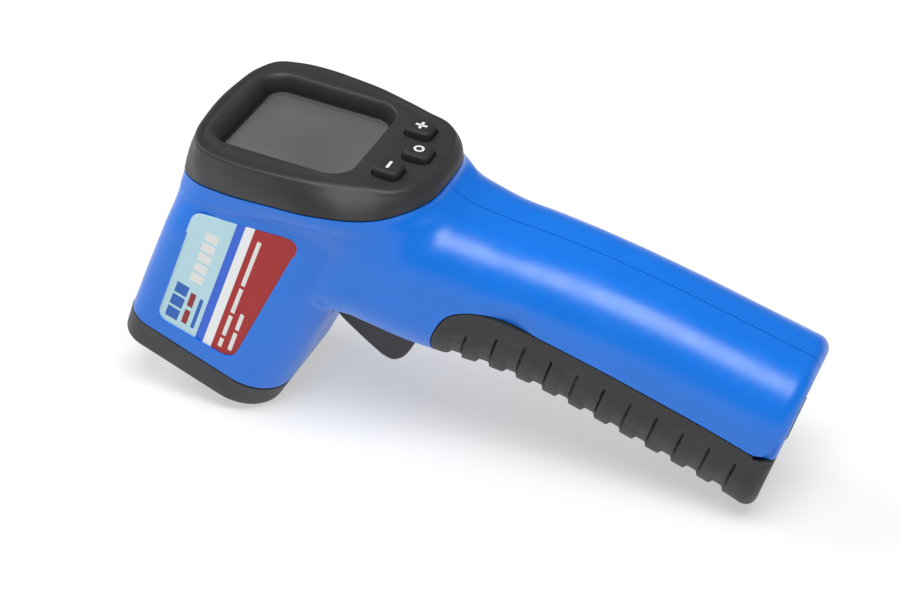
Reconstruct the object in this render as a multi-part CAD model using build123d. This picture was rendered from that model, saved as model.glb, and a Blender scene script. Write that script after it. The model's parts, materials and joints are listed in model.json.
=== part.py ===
from build123d import *
import math
import os

# Pistol infrared thermometer, millimetres.  It lies as it rests on a table: on the
# edge of its nose and on the toe of its grip, mirror plane XZ, grip toward +X,
# display facing up.  It is drawn from a datum near the nose and moved at the end, so
# that the origin is the bottom centre of its box.

# ---- driving dimensions -------------------------------------------------------
WALL = 2.0
SEAM_GAP = 0.3
MOVING_GAP = 0.35

# barrel: a rounded box whose axis leans back from the vertical
BARREL_LEAN = 24.0
NOSE_LOW = -4.4
NOSE_SEAM = 3.6
BARREL_TOP = 64.0
BARREL_FRONT_NOSE = -38.2
BARREL_FRONT_TOP = -41.2
BARREL_BACK_NOSE = 1.9
BARREL_BACK_SEAM = 3.0
BARREL_BACK_TOP = 5.2
NOSE_HALF_WIDTH = 21.0
SEAM_HALF_WIDTH = 22.2
BARREL_HALF_WIDTH = 22.8
BARREL_CORNER = 10.0

# grip: sections along a line that falls toward the toe
GRIP_LEAN = 18.3
GRIP_AT = (60.0, 37.4)
GRIP_END_LEAN = 16.2
TOE_FACE = (122.9, 14.3)
GRIP_TOP_RADIUS = 13.0
GRIP_LOW_RADIUS = 16.6
TOE_RADIUS = 6.0
# station along the grip, top and bottom height above the grip line, half width
GRIP_STATIONS = [
    (-42.0, 9.5, -27.0, 21.5),
    (-26.0, 11.5, -25.5, 20.5),
    (-10.0, 13.2, -22.7, 18.0),
    (8.0, 16.0, -21.4, 17.3),
    (20.0, 17.1, -21.2, 17.1),
    (34.0, 17.8, -21.7, 17.0),
    (50.0, 18.1, -22.2, 17.0),
    (60.0, 18.3, -22.8, 17.0),
    (68.0, 18.4, -23.7, 17.0),
    (76.0, 18.5, -24.2, 17.0),
]

# display housing: a wedge between the border plane and the top plane
PANEL_AT = (10.0, 66.6)
PANEL_FALL = 5.1
BORDER_AT = (10.0, 58.6)
BORDER_RISE = 3.3
# half outlines in plan: distance from the panel centre, half width
BORDER_HALF = [(-30.6, 0), (-30.2, 9.0), (-28.6, 15.2), (-24.6, 18.8), (-17.0, 21.6), (-3.0, 23.9),
               (6.5, 25.0), (14.6, 24.3), (21.2, 21.6), (25.8, 17.4), (29.5, 11.0), (30.6, 0)]
RIM_HALF = [(-26.6, 0), (-26.1, 8.0), (-24.9, 15.4), (-22.0, 20.9), (-17.0, 23.0), (-9.0, 23.8),
            (-4.0, 23.4), (5.0, 22.0), (12.0, 19.8), (18.0, 17.9), (23.2, 16.4), (26.6, 13.2),
            (28.0, 8.5), (28.9, 0)]
COLLAR_DEPTH = 11.0
COLLAR_SHRINK = 3.0
WINDOW_LENGTH = 34.0
WINDOW_WIDTH = 29.6
WINDOW_CENTRE = -4.7
WINDOW_RADIUS = 5.0
WINDOW_SLOPE = 1.5
GLASS_DEPTH = 3.8
GLASS_THICK = 1.2
LCD_DEPTH = 5.2
LCD_THICK = 2.0
BACKLIGHT_THICK = 2.0
BOARD_DEPTH = 10.4
BOARD_THICK = 1.6

# keys
KEY_SIZE = 6.2
KEY_RADIUS = 1.6
KEY_PROUD = 1.7
KEY_TRAVEL = 0.8
KEY_PLACES = {"key_plus": (19.6, 9.2), "key_function": (22.9, 0.0), "key_minus": (19.6, -9.2)}
SWITCH_SIZE = 5.0
SWITCH_HIGH = 3.4
PLUNGER_RADIUS = 1.2

# optics, placed along the barrel axis
OPTIC_AT = -17.5
TUBE_RADIUS = 7.5
TUBE_BORE = 6.3
TUBE_LONG = 24.0
LASER_AT = -31.0
LASER_RADIUS = 3.0

# trigger
TRIGGER_PIVOT = (19.2, 31.4)
TRIGGER_HALF = 6.4
TRIGGER_PIN_RADIUS = 1.0
TRIGGER_TURN = 8.0
RUNNING_FIT = 0.05
TRIGGER_PIN_HALF = 10.0
PIVOT_POST_RADIUS = 2.6
SWITCH_AT = (29.6, 35.8)
TRIGGER_SPRING_AT = (23.0, 34.3)
TRIGGER_SPRING_LONG = 6.3
TRIGGER_WALL = 1.6
# side views of the trigger, the hollow in its back and the slot it moves in
TRIGGER_OUTLINE = [(14.4, 23.6), (15.6, 20.6), (19.0, 17.4), (22.6, 14.0), (25.8, 11.4),
                   (28.4, 10.4), (31.0, 11.8), (33.6, 15.8), (34.0, 24.0), (32.4, 31.0),
                   (31.0, 33.0), (28.6, 33.2), (25.6, 34.0), (19.0, 34.4), (16.0, 31.6)]
TRIGGER_HOLLOW = [(22.4, 24.0), (27.0, 20.0), (31.0, 20.0), (31.4, 25.0), (29.8, 29.8), (25.0, 31.0)]
TRIGGER_SLOT = [(12.0, 23.4), (13.2, 22.6), (36.2, 10.0), (36.2, 32.5), (12.0, 32.5)]

# side view of everything cut away under the neck, between the barrel and the grip
NECK_UNDERSIDE = [(-10, -40), (8.0, -20), (13.6, 22.5), (16.4, 26.2), (19.4, 27.3), (26.0, 25.1),
                  (35.2, 20.9), (41.0, 21.0), (46.0, 21.6), (46.0, -40)]

# battery bay
CELL_RADIUS = 5.25
CELL_LONG = 44.5
CELL_SPREAD = 5.7
CELL_FROM = 5.4
CELL_HEIGHT = -4.0
TRAY_FROM = 2.0
TRAY_LONG = 52.0
TRAY_HALF = 12.6
TRAY_WALL = 1.2
WIRE_RADIUS = 0.6

# grip door and its hinge: the door is everything under the seam
SEAM_FRONT_FOOT = (41.2, 19.0)
SEAM_RISE = (43.2, 29.5)
SEAM_SHOULDER = (47.4, 36.1)
SEAM_CREST = (53.0, 38.0)
SEAM_MIDDLE = (78.0, 32.1)
SEAM_BACK = (119.2, 17.4)
TOE_STEP_HIGH = 16.3
HINGE_AT = (121.4, 14.3)
HINGE_PIN_RADIUS = 0.75
DOOR_KNUCKLE = 1.5
BRACKET_HALF = 3.3
BRACKET_PROUD = 0.5
BRACKET_DEEP = 4.5
BRACKET_TOP = 7.0
STRAP_BAR_HIGH = 4.1
STRAP_POCKET = (5.2, 3.4)
HINGE_HALF = 11.5
# grooves between the ribs, by station along the grip
GROOVE_COUNT = 11
GROOVE_PITCH = 6.61
GROOVE_FIRST = -7.7
GROOVE_RADIUS = 1.2

# screws
HOUSING_SCREWS = [(-20.0, 41.5), (2.6, 11.8), (48.0, 43.5), (119.0, 30.0)]
SCREW_RADIUS = 1.1
SCREW_HEAD = 2.6
BOARD_SCREWS = [(-14.0, 16.8), (-14.0, -16.8), (8.0, 16.8), (8.0, -16.8)]
BOARD_SCREW_RADIUS = 0.8

HEAD_SEAT = 8.0
SCREW_BITE = 8.0
POST_RADIUS = 3.5

# nose
PLATE_LOW = -2.6
PLATE_THICK = 1.6
TUBE_LOW = PLATE_LOW + PLATE_THICK
SPIGOT_INSET = 2.4
SPIGOT_WALL = 1.4
SPIGOT_HIGH = 3.0

# display stack
LCD_LENGTH = 32.0
LCD_WIDTH = 26.0
BOARD_OUTLINE = [(-22.0, -13.5), (-18.5, -18.4), (11.5, -18.4), (15.0, -15.0), (27.0, -12.0),
                 (27.0, 12.0), (15.0, 15.0), (11.5, 18.4), (-18.5, 18.4), (-22.0, 13.5)]
BUZZER_AT = (2.0, 10.0)
PROCESSOR_AT = (-6.0, -8.0)

# printed labels on the barrel's sides, as seen from the side
LABEL_THICK = 0.25
LABEL_OUTLINE = [(-12.6, 50.5), (9.6, 50.2), (11.6, 48.2), (11.4, 46.3), (-3.7, 16.4), (-6.4, 13.8),
                 (-21.6, 20.4), (-22.6, 22.6)]

FAR = 200.0


# ---- frames -------------------------------------------------------------------
def leaning_plane(x, z, fall):
    """A plane square to XZ whose local x points toward the grip, falling by an angle."""
    turn = math.radians(fall)
    return Plane(
        origin=(x, 0, z),
        x_dir=(math.cos(turn), 0, -math.sin(turn)),
        z_dir=(math.sin(turn), 0, math.cos(turn)),
    )


BARREL = leaning_plane(0, 0, BARREL_LEAN)
GRIP = leaning_plane(*GRIP_AT, GRIP_LEAN)
PANEL = leaning_plane(*PANEL_AT, PANEL_FALL)
BORDER = leaning_plane(*BORDER_AT, -BORDER_RISE)
TOE = leaning_plane(*TOE_FACE, GRIP_END_LEAN)


def side_prism(points, half_width=FAR):
    """A closed XZ outline, extruded to both sides of the mirror plane."""
    outline = Polyline(*[(x, 0, z) for x, z in points], close=True)
    return extrude(make_face(outline), half_width, dir=(0, 1, 0), both=True)


def cross_bar(x, z, radius, y_low, y_high):
    """A round bar parallel to Y."""
    length = y_high - y_low
    return Pos(x, (y_low + y_high) / 2, z) * Rot(90, 0, 0) * Cylinder(radius, length)


def half_space(plane, above=True):
    """A large block on one side of a plane."""
    offset = FAR / 2 if above else -FAR / 2
    return plane * Pos(0, 0, offset) * Box(2 * FAR, 2 * FAR, FAR)


# ---- outer shapes -------------------------------------------------------------
def barrel_section(along, front, back, half_width, radius):
    centre = (front + back) / 2
    return BARREL * Pos(centre, 0, along) * RectangleRounded(back - front, 2 * half_width, radius)


def barrel_blank(inset, low=NOSE_SEAM):
    """The barrel from the nose seam up, every side moved in by inset."""
    radius = BARREL_CORNER - inset
    lower = barrel_section(low, BARREL_FRONT_NOSE - 0.4 + inset, BARREL_BACK_SEAM - inset,
                           SEAM_HALF_WIDTH - inset, radius)
    upper = barrel_section(BARREL_TOP, BARREL_FRONT_TOP + inset, BARREL_BACK_TOP - inset,
                           BARREL_HALF_WIDTH - inset, radius)
    return loft([lower, upper]) - half_space(BORDER)


def nose_blank(inset):
    radius = BARREL_CORNER - inset
    lower = barrel_section(NOSE_LOW, BARREL_FRONT_NOSE + inset, BARREL_BACK_NOSE - inset,
                           NOSE_HALF_WIDTH - inset, radius)
    upper = barrel_section(NOSE_SEAM, BARREL_FRONT_NOSE - 0.4 + inset, BARREL_BACK_SEAM - inset,
                           SEAM_HALF_WIDTH - inset, radius)
    return loft([lower, upper])


def grip_section(along, top, low, half_width, inset):
    """One cross-section of the grip, round at the back and firmer at the front strap."""
    top, low, half = top - inset, low + inset, half_width - inset
    upper, lower = GRIP_TOP_RADIUS - inset, GRIP_LOW_RADIUS - inset
    with BuildSketch() as sketch:
        with BuildLine():
            Line((low + lower, -half), (top - upper, -half))
            TangentArc((top - upper, -half), (top, upper - half), tangent=(1, 0))
            Line((top, upper - half), (top, half - upper))
            TangentArc((top, half - upper), (top - upper, half), tangent=(0, 1))
            Line((top - upper, half), (low + lower, half))
            TangentArc((low + lower, half), (low, half - lower), tangent=(-1, 0))
            Line((low, half - lower), (low, lower - half))
            TangentArc((low, lower - half), (low + lower, -half), tangent=(0, -1))
        make_face()
    upright = Plane(origin=(along, 0, 0), x_dir=(0, 0, 1), z_dir=(-1, 0, 0))
    return GRIP * upright * sketch.sketch


def grip_low(along):
    """Height of the front strap above the grip line, between the stations."""
    for (start, _, low, _), (end, _, next_low, _) in zip(GRIP_STATIONS, GRIP_STATIONS[1:]):
        if along <= end:
            return low + (next_low - low) * (along - start) / (end - start)
    return GRIP_STATIONS[-1][2]


def toe_corner(inset):
    """What rounding takes off the corner between the front strap and the end face."""
    (start, _, low, _), (end, _, next_low, _) = GRIP_STATIONS[-3:-1]
    fall = GRIP_LEAN + math.degrees(math.atan2(low - next_low, end - start))
    foot = (GRIP * Pos(start, 0, low)).position
    strap = leaning_plane(foot.X, foot.Z, fall)
    slant = strap.z_dir.dot(TOE.x_dir)
    reach = (TOE.origin - strap.origin).dot(TOE.x_dir)
    along = (reach - TOE_RADIUS * (1 + slant)) / strap.x_dir.dot(TOE.x_dir)
    centre = strap.origin + strap.x_dir * along + strap.z_dir * TOE_RADIUS
    radius = TOE_RADIUS - inset
    corner = centre + (TOE.x_dir - strap.z_dir) * (radius / (1 - slant))
    touches = [centre - strap.z_dir * radius, centre + TOE.x_dir * radius]
    wedge = side_prism([(point.X, point.Z) for point in (corner, *touches)])
    return wedge - cross_bar(centre.X, centre.Z, radius, -FAR, FAR)


def grip_blank(inset):
    """The grip from inside the barrel to its end face."""
    sections = [grip_section(*station, inset) for station in GRIP_STATIONS]
    beyond_end = TOE * Pos(FAR / 2 - inset, 0, 0) * Box(FAR, FAR, FAR)
    return loft(sections, ruled=True) - beyond_end - toe_corner(inset) - half_space(BORDER)


def plan_outline(plane, half_points, inset, drop=0.0):
    """A closed smooth outline from the points of one half, mirrored and moved in by inset."""
    start, end = half_points[0][0], half_points[-1][0]
    centre, reach = (start + end) / 2, (end - start) / 2
    widest = max(y for x, y in half_points)
    half = [(centre + (x - centre) * (1 - inset / reach), y * (1 - inset / widest))
            for x, y in half_points]
    mirrored = [(x, -y) for x, y in reversed(half[1:-1])]
    outline = Spline(*half, *mirrored, periodic=True)
    return plane * Pos(0, 0, -drop) * make_face(outline)


def collar_blank(inset):
    """The flare under the display housing, from its border down into barrel and grip."""
    upper = plan_outline(BORDER, BORDER_HALF, inset)
    lower = plan_outline(BORDER, BORDER_HALF, inset + COLLAR_SHRINK, COLLAR_DEPTH)
    return loft([lower, upper])


def body_blank(inset, low=NOSE_SEAM):
    return barrel_blank(inset, low) + grip_blank(inset) + collar_blank(inset)


def display_blank(inset, top_inset):
    lower = plan_outline(BORDER, BORDER_HALF, inset)
    upper = plan_outline(PANEL, RIM_HALF, inset, top_inset)
    return loft([lower, upper])


def door_region(gap):
    """The side view region that belongs to the grip door, moved away from the seam by gap."""
    foot_x, foot_z = SEAM_FRONT_FOOT
    end_x = SEAM_BACK[0] - gap
    step_z = TOE_STEP_HIGH - gap
    seam = Spline((SEAM_RISE[0] + gap, 0, SEAM_RISE[1]),
                  (SEAM_SHOULDER[0] + gap * 0.7, 0, SEAM_SHOULDER[1] - gap * 0.7),
                  (SEAM_CREST[0], 0, SEAM_CREST[1] - gap),
                  (SEAM_MIDDLE[0], 0, SEAM_MIDDLE[1] - gap),
                  (end_x, 0, SEAM_BACK[1] - gap))
    start, end = seam @ 0, seam @ 1
    step = Polyline(end, (end_x, 0, step_z), (FAR, 0, step_z), (FAR, 0, -FAR),
                    (foot_x + gap, 0, -FAR), (foot_x + gap, 0, foot_z), start)
    return extrude(make_face([seam, step]), FAR, dir=(0, 1, 0), both=True)


# ---- trigger -------------------------------------------------------------------
def trigger():
    pivot_x, pivot_z = TRIGGER_PIVOT
    body = side_prism(TRIGGER_OUTLINE, TRIGGER_HALF)
    fronts = body.edges().filter_by(Axis.Y).group_by(Axis.Z)[0]
    body = fillet(fronts, 1.0)
    hollow = side_prism(TRIGGER_HOLLOW, TRIGGER_HALF - TRIGGER_WALL)
    bore = cross_bar(pivot_x, pivot_z, TRIGGER_PIN_RADIUS + RUNNING_FIT, -10, 10)
    return body - hollow - bore


def trigger_pin():
    x, z = TRIGGER_PIVOT
    return cross_bar(x, z, TRIGGER_PIN_RADIUS, -TRIGGER_PIN_HALF, TRIGGER_PIN_HALF)


def trigger_switch():
    """A small switch behind the trigger, its button just clear of a fully pulled trigger."""
    x, z = SWITCH_AT
    body = Pos(x, 0, z + 2.4) * Box(8.0, 5.6, 4.8)
    button = Pos(x, 0, z - 0.5) * Cylinder(1.2, 1.0)
    return body + button


def switch_board():
    """The small board that carries the trigger switch and seats the trigger spring."""
    x, z = SWITCH_AT
    return Pos(x - 3.0, 0, z + 4.8 + 0.6) * Box(16.0, 24.0, 1.2)


def coil_spring(plane, radius, wire, length, turns):
    """A round-wire compression spring with its axis on the plane's normal."""
    pitch = (length - 2 * wire) / turns
    path = Helix(pitch=pitch, height=pitch * turns, radius=radius)
    start = Plane(origin=path @ 0, z_dir=path % 0)
    coil = sweep(start * Circle(wire), path=path, is_frenet=True)
    return plane * Pos(0, 0, wire) * coil


def trigger_spring():
    x, z = TRIGGER_SPRING_AT
    return coil_spring(Pos(x, 0, z), 1.6, 0.25, TRIGGER_SPRING_LONG, 5)


# ---- shells --------------------------------------------------------------------
def neck_cut(inset):
    """Everything under the neck; inset leaves a wall between this cut and the outer one."""
    outline = [(x - inset * 0.5, z + inset) for x, z in NECK_UNDERSIDE]
    return side_prism(outline)


def housing_blank():
    """Both halves together, hollow, open at the nose, under the display and at the door."""
    outer = body_blank(0) - neck_cut(0)
    inner = body_blank(WALL, low=NOSE_SEAM - 2) - neck_cut(WALL)
    opening = extrude(plan_outline(BORDER, BORDER_HALF, WALL + 0.6, 4.0), 10, dir=(0, 0, 1))
    shell = outer - inner - opening - door_region(0)
    slot_half = TRIGGER_HALF + MOVING_GAP
    slot = side_prism(TRIGGER_SLOT, slot_half)
    bracket_slot = TOE * Pos(0, 0, BRACKET_TOP / 2) * Box(12, 2 * BRACKET_HALF, BRACKET_TOP)
    return shell - slot - bracket_slot


def screw_column(x, z, side):
    """A screw post from the mirror plane to the wall: side is +1 or -1."""
    low, high = (0, FAR) if side > 0 else (-FAR, 0)
    return cross_bar(x, z, POST_RADIUS, low, high) & body_blank(WALL / 2)


def pivot_column(side):
    """A post for one end of the trigger pin."""
    x, z = TRIGGER_PIVOT
    start = TRIGGER_HALF + MOVING_GAP
    low, high = (start, FAR) if side > 0 else (-FAR, -start)
    return cross_bar(x, z, PIVOT_POST_RADIUS, low, high) & body_blank(WALL / 2)


def housing_half(side):
    """One half of the housing; the screws go in from the +Y side."""
    keep = Pos(0, side * FAR / 2, 0) * Box(3 * FAR, FAR, 3 * FAR)
    half = housing_blank() & keep
    for x, z in HOUSING_SCREWS:
        half += screw_column(x, z, side)
    half += pivot_column(side)
    for x, z in HOUSING_SCREWS:
        if side > 0:
            half -= cross_bar(x, z, SCREW_HEAD + 0.2, HEAD_SEAT, FAR)
            half -= cross_bar(x, z, SCREW_RADIUS + 0.2, -1, HEAD_SEAT + 1)
        else:
            half -= cross_bar(x, z, SCREW_RADIUS, -SCREW_BITE, 1)
    x, z = TRIGGER_PIVOT
    half -= cross_bar(x, z, TRIGGER_PIN_RADIUS, -TRIGGER_PIN_HALF, TRIGGER_PIN_HALF)
    return max(half.solids(), key=lambda solid: solid.volume)


def housing_screws():
    screws = []
    for x, z in HOUSING_SCREWS:
        shank = cross_bar(x, z, SCREW_RADIUS, -SCREW_BITE + 0.5, HEAD_SEAT)
        head = cross_bar(x, z, SCREW_HEAD, HEAD_SEAT, HEAD_SEAT + 1.8)
        slot = Pos(x, HEAD_SEAT + 1.4, z) * Box(0.7, 1.2, 3.2)
        cross = Pos(x, HEAD_SEAT + 1.4, z) * Box(3.2, 1.2, 0.7)
        screws.append(shank + head - slot - cross)
    return Compound(screws)


def barrel_ring(low, high, inset):
    """A straight plug with the outline of the nose seam, moved in by inset."""
    outline = RectangleRounded(BARREL_BACK_SEAM - BARREL_FRONT_NOSE - 2 * inset,
                               2 * (SEAM_HALF_WIDTH - inset), BARREL_CORNER - inset)
    centre = (BARREL_BACK_SEAM + BARREL_FRONT_NOSE) / 2
    return BARREL * Pos(centre, 0, low) * extrude(outline, high - low)


def nose_bezel():
    """The black rim round the nose, with a spigot that enters the housing."""
    plate_top = PLATE_LOW + PLATE_THICK
    recess = nose_blank(WALL + 0.3) - half_space(BARREL.offset(plate_top))
    spigot = barrel_ring(plate_top, NOSE_SEAM + SPIGOT_HIGH, SPIGOT_INSET)
    core = barrel_ring(NOSE_LOW - 5, NOSE_SEAM + SPIGOT_HIGH + 5, SPIGOT_INSET + SPIGOT_WALL)
    return nose_blank(0) + spigot - core - recess


def on_barrel(along, across=0.0, offset=0.0):
    return BARREL * Pos(across, offset, along)


def front_plate():
    """The recessed face of the nose, with the sensor and laser apertures."""
    centre = (BARREL_FRONT_NOSE + BARREL_BACK_NOSE) / 2
    inset = WALL + 0.5
    plate = on_barrel(PLATE_LOW, centre) * extrude(
        RectangleRounded(BARREL_BACK_NOSE - BARREL_FRONT_NOSE - 2 * inset,
                         2 * (NOSE_HALF_WIDTH - inset), BARREL_CORNER - inset), PLATE_THICK)
    cone = on_barrel(PLATE_LOW + PLATE_THICK / 2, OPTIC_AT) * Cone(TUBE_BORE + 1.6, TUBE_BORE,
                                                                 PLATE_THICK + 0.01)
    laser = on_barrel(PLATE_LOW + PLATE_THICK / 2, LASER_AT) * Cylinder(2.0, PLATE_THICK * 2)
    return plate - cone - laser


def lens_tube():
    centre = TUBE_LOW + TUBE_LONG / 2
    tube = on_barrel(centre, OPTIC_AT) * Cylinder(TUBE_RADIUS, TUBE_LONG)
    flange = on_barrel(TUBE_LOW + 1.0, OPTIC_AT) * Cylinder(TUBE_RADIUS + 2.5, 2.0)
    bore = on_barrel(centre, OPTIC_AT) * Cylinder(TUBE_BORE, TUBE_LONG * 2)
    shelf = on_barrel(TUBE_LOW + 4.0, OPTIC_AT) * (Cylinder(TUBE_BORE, 1.0) - Cylinder(5.2, 1.0))
    return tube + flange - bore + shelf


def infrared_lens():
    """A plano-convex lens on the shelf of its tube."""
    disc = on_barrel(TUBE_LOW + 2.7, OPTIC_AT) * Cylinder(TUBE_BORE, 1.6)
    dome = on_barrel(TUBE_LOW + 16.9, OPTIC_AT) * Sphere(15.6)
    return disc & dome


def thermopile_sensor():
    """A metal can with a window and four legs."""
    top = TUBE_LOW + TUBE_LONG
    can = on_barrel(top - 2.2, OPTIC_AT) * Cylinder(4.1, 3.6)
    rim = on_barrel(top - 0.35, OPTIC_AT) * Cylinder(4.7, 0.7)
    window = on_barrel(top - 3.9, OPTIC_AT) * Cylinder(1.5, 0.6)
    can = can + rim - window
    for across, offset in [(2.5, 0), (-2.5, 0), (0, 2.5), (0, -2.5)]:
        can += on_barrel(top + 1.3, OPTIC_AT + across, offset) * Cylinder(0.23, 2.6)
    return can


def sensor_board():
    top = TUBE_LOW + TUBE_LONG
    board = on_barrel(top + 0.6, OPTIC_AT) * Box(20, 22, 1.2)
    for across, offset in [(2.5, 0), (-2.5, 0), (0, 2.5), (0, -2.5)]:
        board -= on_barrel(top + 0.6, OPTIC_AT + across, offset) * Cylinder(0.23, 3)
    return board


def sensor_holder():
    """A ring that centres the sensor in the open end of the tube."""
    top = TUBE_LOW + TUBE_LONG
    ring = on_barrel(top - 1.7, OPTIC_AT) * (Cylinder(TUBE_BORE, 2.0) - Cylinder(4.1, 2.0))
    return ring


def laser_module():
    body = on_barrel(PLATE_LOW + PLATE_THICK + 7.0, LASER_AT) * Cylinder(LASER_RADIUS, 14.0)
    mouth = on_barrel(PLATE_LOW + PLATE_THICK, LASER_AT) * Cylinder(1.4, 3.0)
    return body - mouth


# ---- display ---------------------------------------------------------------------
def on_panel(x, y=0.0, depth=0.0):
    """A place given by the display's own plan, depth measured down from its top plane."""
    return PANEL * Pos(x, y, -depth)


def rounded_block(x, y, depth, length, width, high, radius):
    """A rounded block whose upper face is at depth."""
    return on_panel(x, y, depth + high) * extrude(RectangleRounded(length, width, radius), high)


def window_opening():
    top = on_panel(WINDOW_CENTRE, 0, -0.5) * RectangleRounded(
        WINDOW_LENGTH, WINDOW_WIDTH, WINDOW_RADIUS)
    low = on_panel(WINDOW_CENTRE, 0, GLASS_DEPTH) * RectangleRounded(
        WINDOW_LENGTH - 2 * WINDOW_SLOPE, WINDOW_WIDTH - 2 * WINDOW_SLOPE,
        WINDOW_RADIUS - WINDOW_SLOPE)
    return loft([low, top])


def display_bezel():
    bezel = display_blank(0, 0) - display_blank(WALL, WALL)
    frame_length = WINDOW_LENGTH + 4.4
    frame_width = WINDOW_WIDTH + 4.4
    surround = rounded_block(WINDOW_CENTRE, 0, 1.0, frame_length, frame_width, GLASS_DEPTH - 1.0, 5)
    bezel += surround & display_blank(0.5, 0.5)
    for x, y in BOARD_SCREWS:
        post = on_panel(x, y, BOARD_DEPTH / 2 + 0.5) * Cylinder(2.0, BOARD_DEPTH - 1.0)
        bezel += post
    bezel -= window_opening()
    for x, y in KEY_PLACES.values():
        hole = KEY_SIZE + 2 * MOVING_GAP
        bezel -= rounded_block(x, y, -2, hole, hole, 8, KEY_RADIUS + MOVING_GAP)
    for x, y in BOARD_SCREWS:
        bezel -= on_panel(x, y, BOARD_DEPTH - 2.0) * Cylinder(BOARD_SCREW_RADIUS, 5.0)
    return max(bezel.solids(), key=lambda solid: solid.volume)


def display_window():
    return rounded_block(WINDOW_CENTRE, 0, GLASS_DEPTH, WINDOW_LENGTH - 0.4, WINDOW_WIDTH - 0.4,
                         GLASS_THICK, 3.0)


def lcd_panel():
    return rounded_block(WINDOW_CENTRE, 0, LCD_DEPTH, LCD_LENGTH, LCD_WIDTH, LCD_THICK, 0.6)


def backlight_panel():
    return rounded_block(WINDOW_CENTRE, 0, LCD_DEPTH + LCD_THICK, LCD_LENGTH, LCD_WIDTH - 8,
                         BACKLIGHT_THICK, 0.6)


def connector_strips():
    """The two rubber strips that join the glass to the board."""
    depth = LCD_DEPTH + LCD_THICK
    high = BOARD_DEPTH - depth
    strips = [rounded_block(WINDOW_CENTRE, side * (LCD_WIDTH / 2 - 1.5), depth, LCD_LENGTH - 4, 2.4,
                            high, 0.5) for side in (-1, 1)]
    return Compound(strips)


def lcd_frame():
    """The plastic frame that holds glass, backlight and strips on the board."""
    high = BOARD_DEPTH - LCD_DEPTH
    outer = rounded_block(WINDOW_CENTRE, 0, LCD_DEPTH, LCD_LENGTH + 2.4, LCD_WIDTH + 2.4, high, 1.5)
    inner = rounded_block(WINDOW_CENTRE, 0, LCD_DEPTH - 1, LCD_LENGTH, LCD_WIDTH, high + 2, 0.6)
    return outer - inner


def main_board():
    board = on_panel(0, 0, BOARD_DEPTH + BOARD_THICK) * extrude(
        make_face(Polyline(*BOARD_OUTLINE, close=True)), BOARD_THICK)
    for x, y in BOARD_SCREWS:
        board -= on_panel(x, y, BOARD_DEPTH) * Cylinder(BOARD_SCREW_RADIUS + 0.2, 6)
    return board


def board_screws():
    screws = []
    depth = BOARD_DEPTH + BOARD_THICK
    for x, y in BOARD_SCREWS:
        shank = on_panel(x, y, depth - 2.5) * Cylinder(BOARD_SCREW_RADIUS, 5.0)
        head = on_panel(x, y, depth + 0.6) * Cylinder(1.7, 1.2)
        screws.append(shank + head - on_panel(x, y, depth + 1.2) * Box(2.2, 0.5, 0.8))
    return Compound(screws)


def key_cap(x, y):
    """One key: a rounded cap, a skirt that keeps it in, and a stem over its switch."""
    cap = rounded_block(x, y, -KEY_PROUD, KEY_SIZE, KEY_SIZE, KEY_PROUD + WALL + 0.4, KEY_RADIUS)
    cap = fillet(cap.edges().group_by(Axis.Z)[-1], 0.6)
    skirt = rounded_block(x, y, WALL + 0.4, KEY_SIZE + 1.6, KEY_SIZE + 1.6, 1.0, KEY_RADIUS)
    stem_end = BOARD_DEPTH - SWITCH_HIGH - KEY_TRAVEL - 0.1
    stem = on_panel(x, y, (WALL + stem_end) / 2) * Cylinder(1.6, stem_end - WALL)
    return cap + skirt + stem


def key_switches():
    """Tactile switches on the board, under the keys."""
    switches = []
    for x, y in KEY_PLACES.values():
        base = rounded_block(x, y, BOARD_DEPTH - 2.2, SWITCH_SIZE, SWITCH_SIZE, 2.2, 0.4)
        plunger = on_panel(x, y, BOARD_DEPTH - 2.2 - 0.6) * Cylinder(PLUNGER_RADIUS, SWITCH_HIGH - 2.2)
        switches.append(base + plunger)
    return Compound(switches)


def buzzer():
    can = on_panel(*BUZZER_AT, BOARD_DEPTH + BOARD_THICK + 2.0) * Cylinder(5.0, 4.0)
    hole = on_panel(*BUZZER_AT, BOARD_DEPTH + BOARD_THICK + 4.0) * Cylinder(1.0, 1.2)
    return can - hole


def processor():
    return rounded_block(*PROCESSOR_AT, BOARD_DEPTH + BOARD_THICK, 9.0, 9.0, 1.4, 0.4)


# ---- labels ------------------------------------------------------------------------
def side_label(side):
    """A thin printed sheet on one flat side of the barrel."""
    skin = barrel_blank(-LABEL_THICK) - barrel_blank(0)
    sheet = skin & side_prism(LABEL_OUTLINE)
    keep = Pos(0, side * FAR / 2, 0) * Box(3 * FAR, FAR, 3 * FAR)
    return max((sheet & keep).solids(), key=lambda solid: solid.volume)


# ---- battery bay -------------------------------------------------------------------
def on_grip(along, y, height):
    return GRIP * Pos(along, y, height)


def cell(side):
    """A cylindrical cell; the two lie nose to tail."""
    turn = Rot(0, 90, 0) if side > 0 else Rot(0, -90, 0)
    centre = on_grip(CELL_FROM + CELL_LONG / 2, side * CELL_SPREAD, CELL_HEIGHT) * turn
    body = centre * Pos(0, 0, -0.5) * Cylinder(CELL_RADIUS, CELL_LONG - 1.0)
    nub = centre * Pos(0, 0, CELL_LONG / 2 - 0.5) * Cylinder(1.9, 1.0)
    return body + nub


def battery_tray():
    """An open cradle in the grip, its mouth toward the door."""
    low, high = CELL_HEIGHT - 2.0, CELL_HEIGHT + CELL_RADIUS + 0.4 + TRAY_WALL
    centre = TRAY_FROM + TRAY_LONG / 2
    outer = on_grip(centre, 0, (low + high) / 2) * Box(TRAY_LONG, 2 * TRAY_HALF, high - low)
    pocket = on_grip(centre, 0, (low + high) / 2 - TRAY_WALL) * Box(
        TRAY_LONG - 2 * TRAY_WALL, 2 * (TRAY_HALF - TRAY_WALL), high - low)
    ridge = on_grip(centre, 0, high - TRAY_WALL - 0.5) * Box(CELL_LONG - 6, 0.5, 1.4)
    return outer - pocket + ridge


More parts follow.
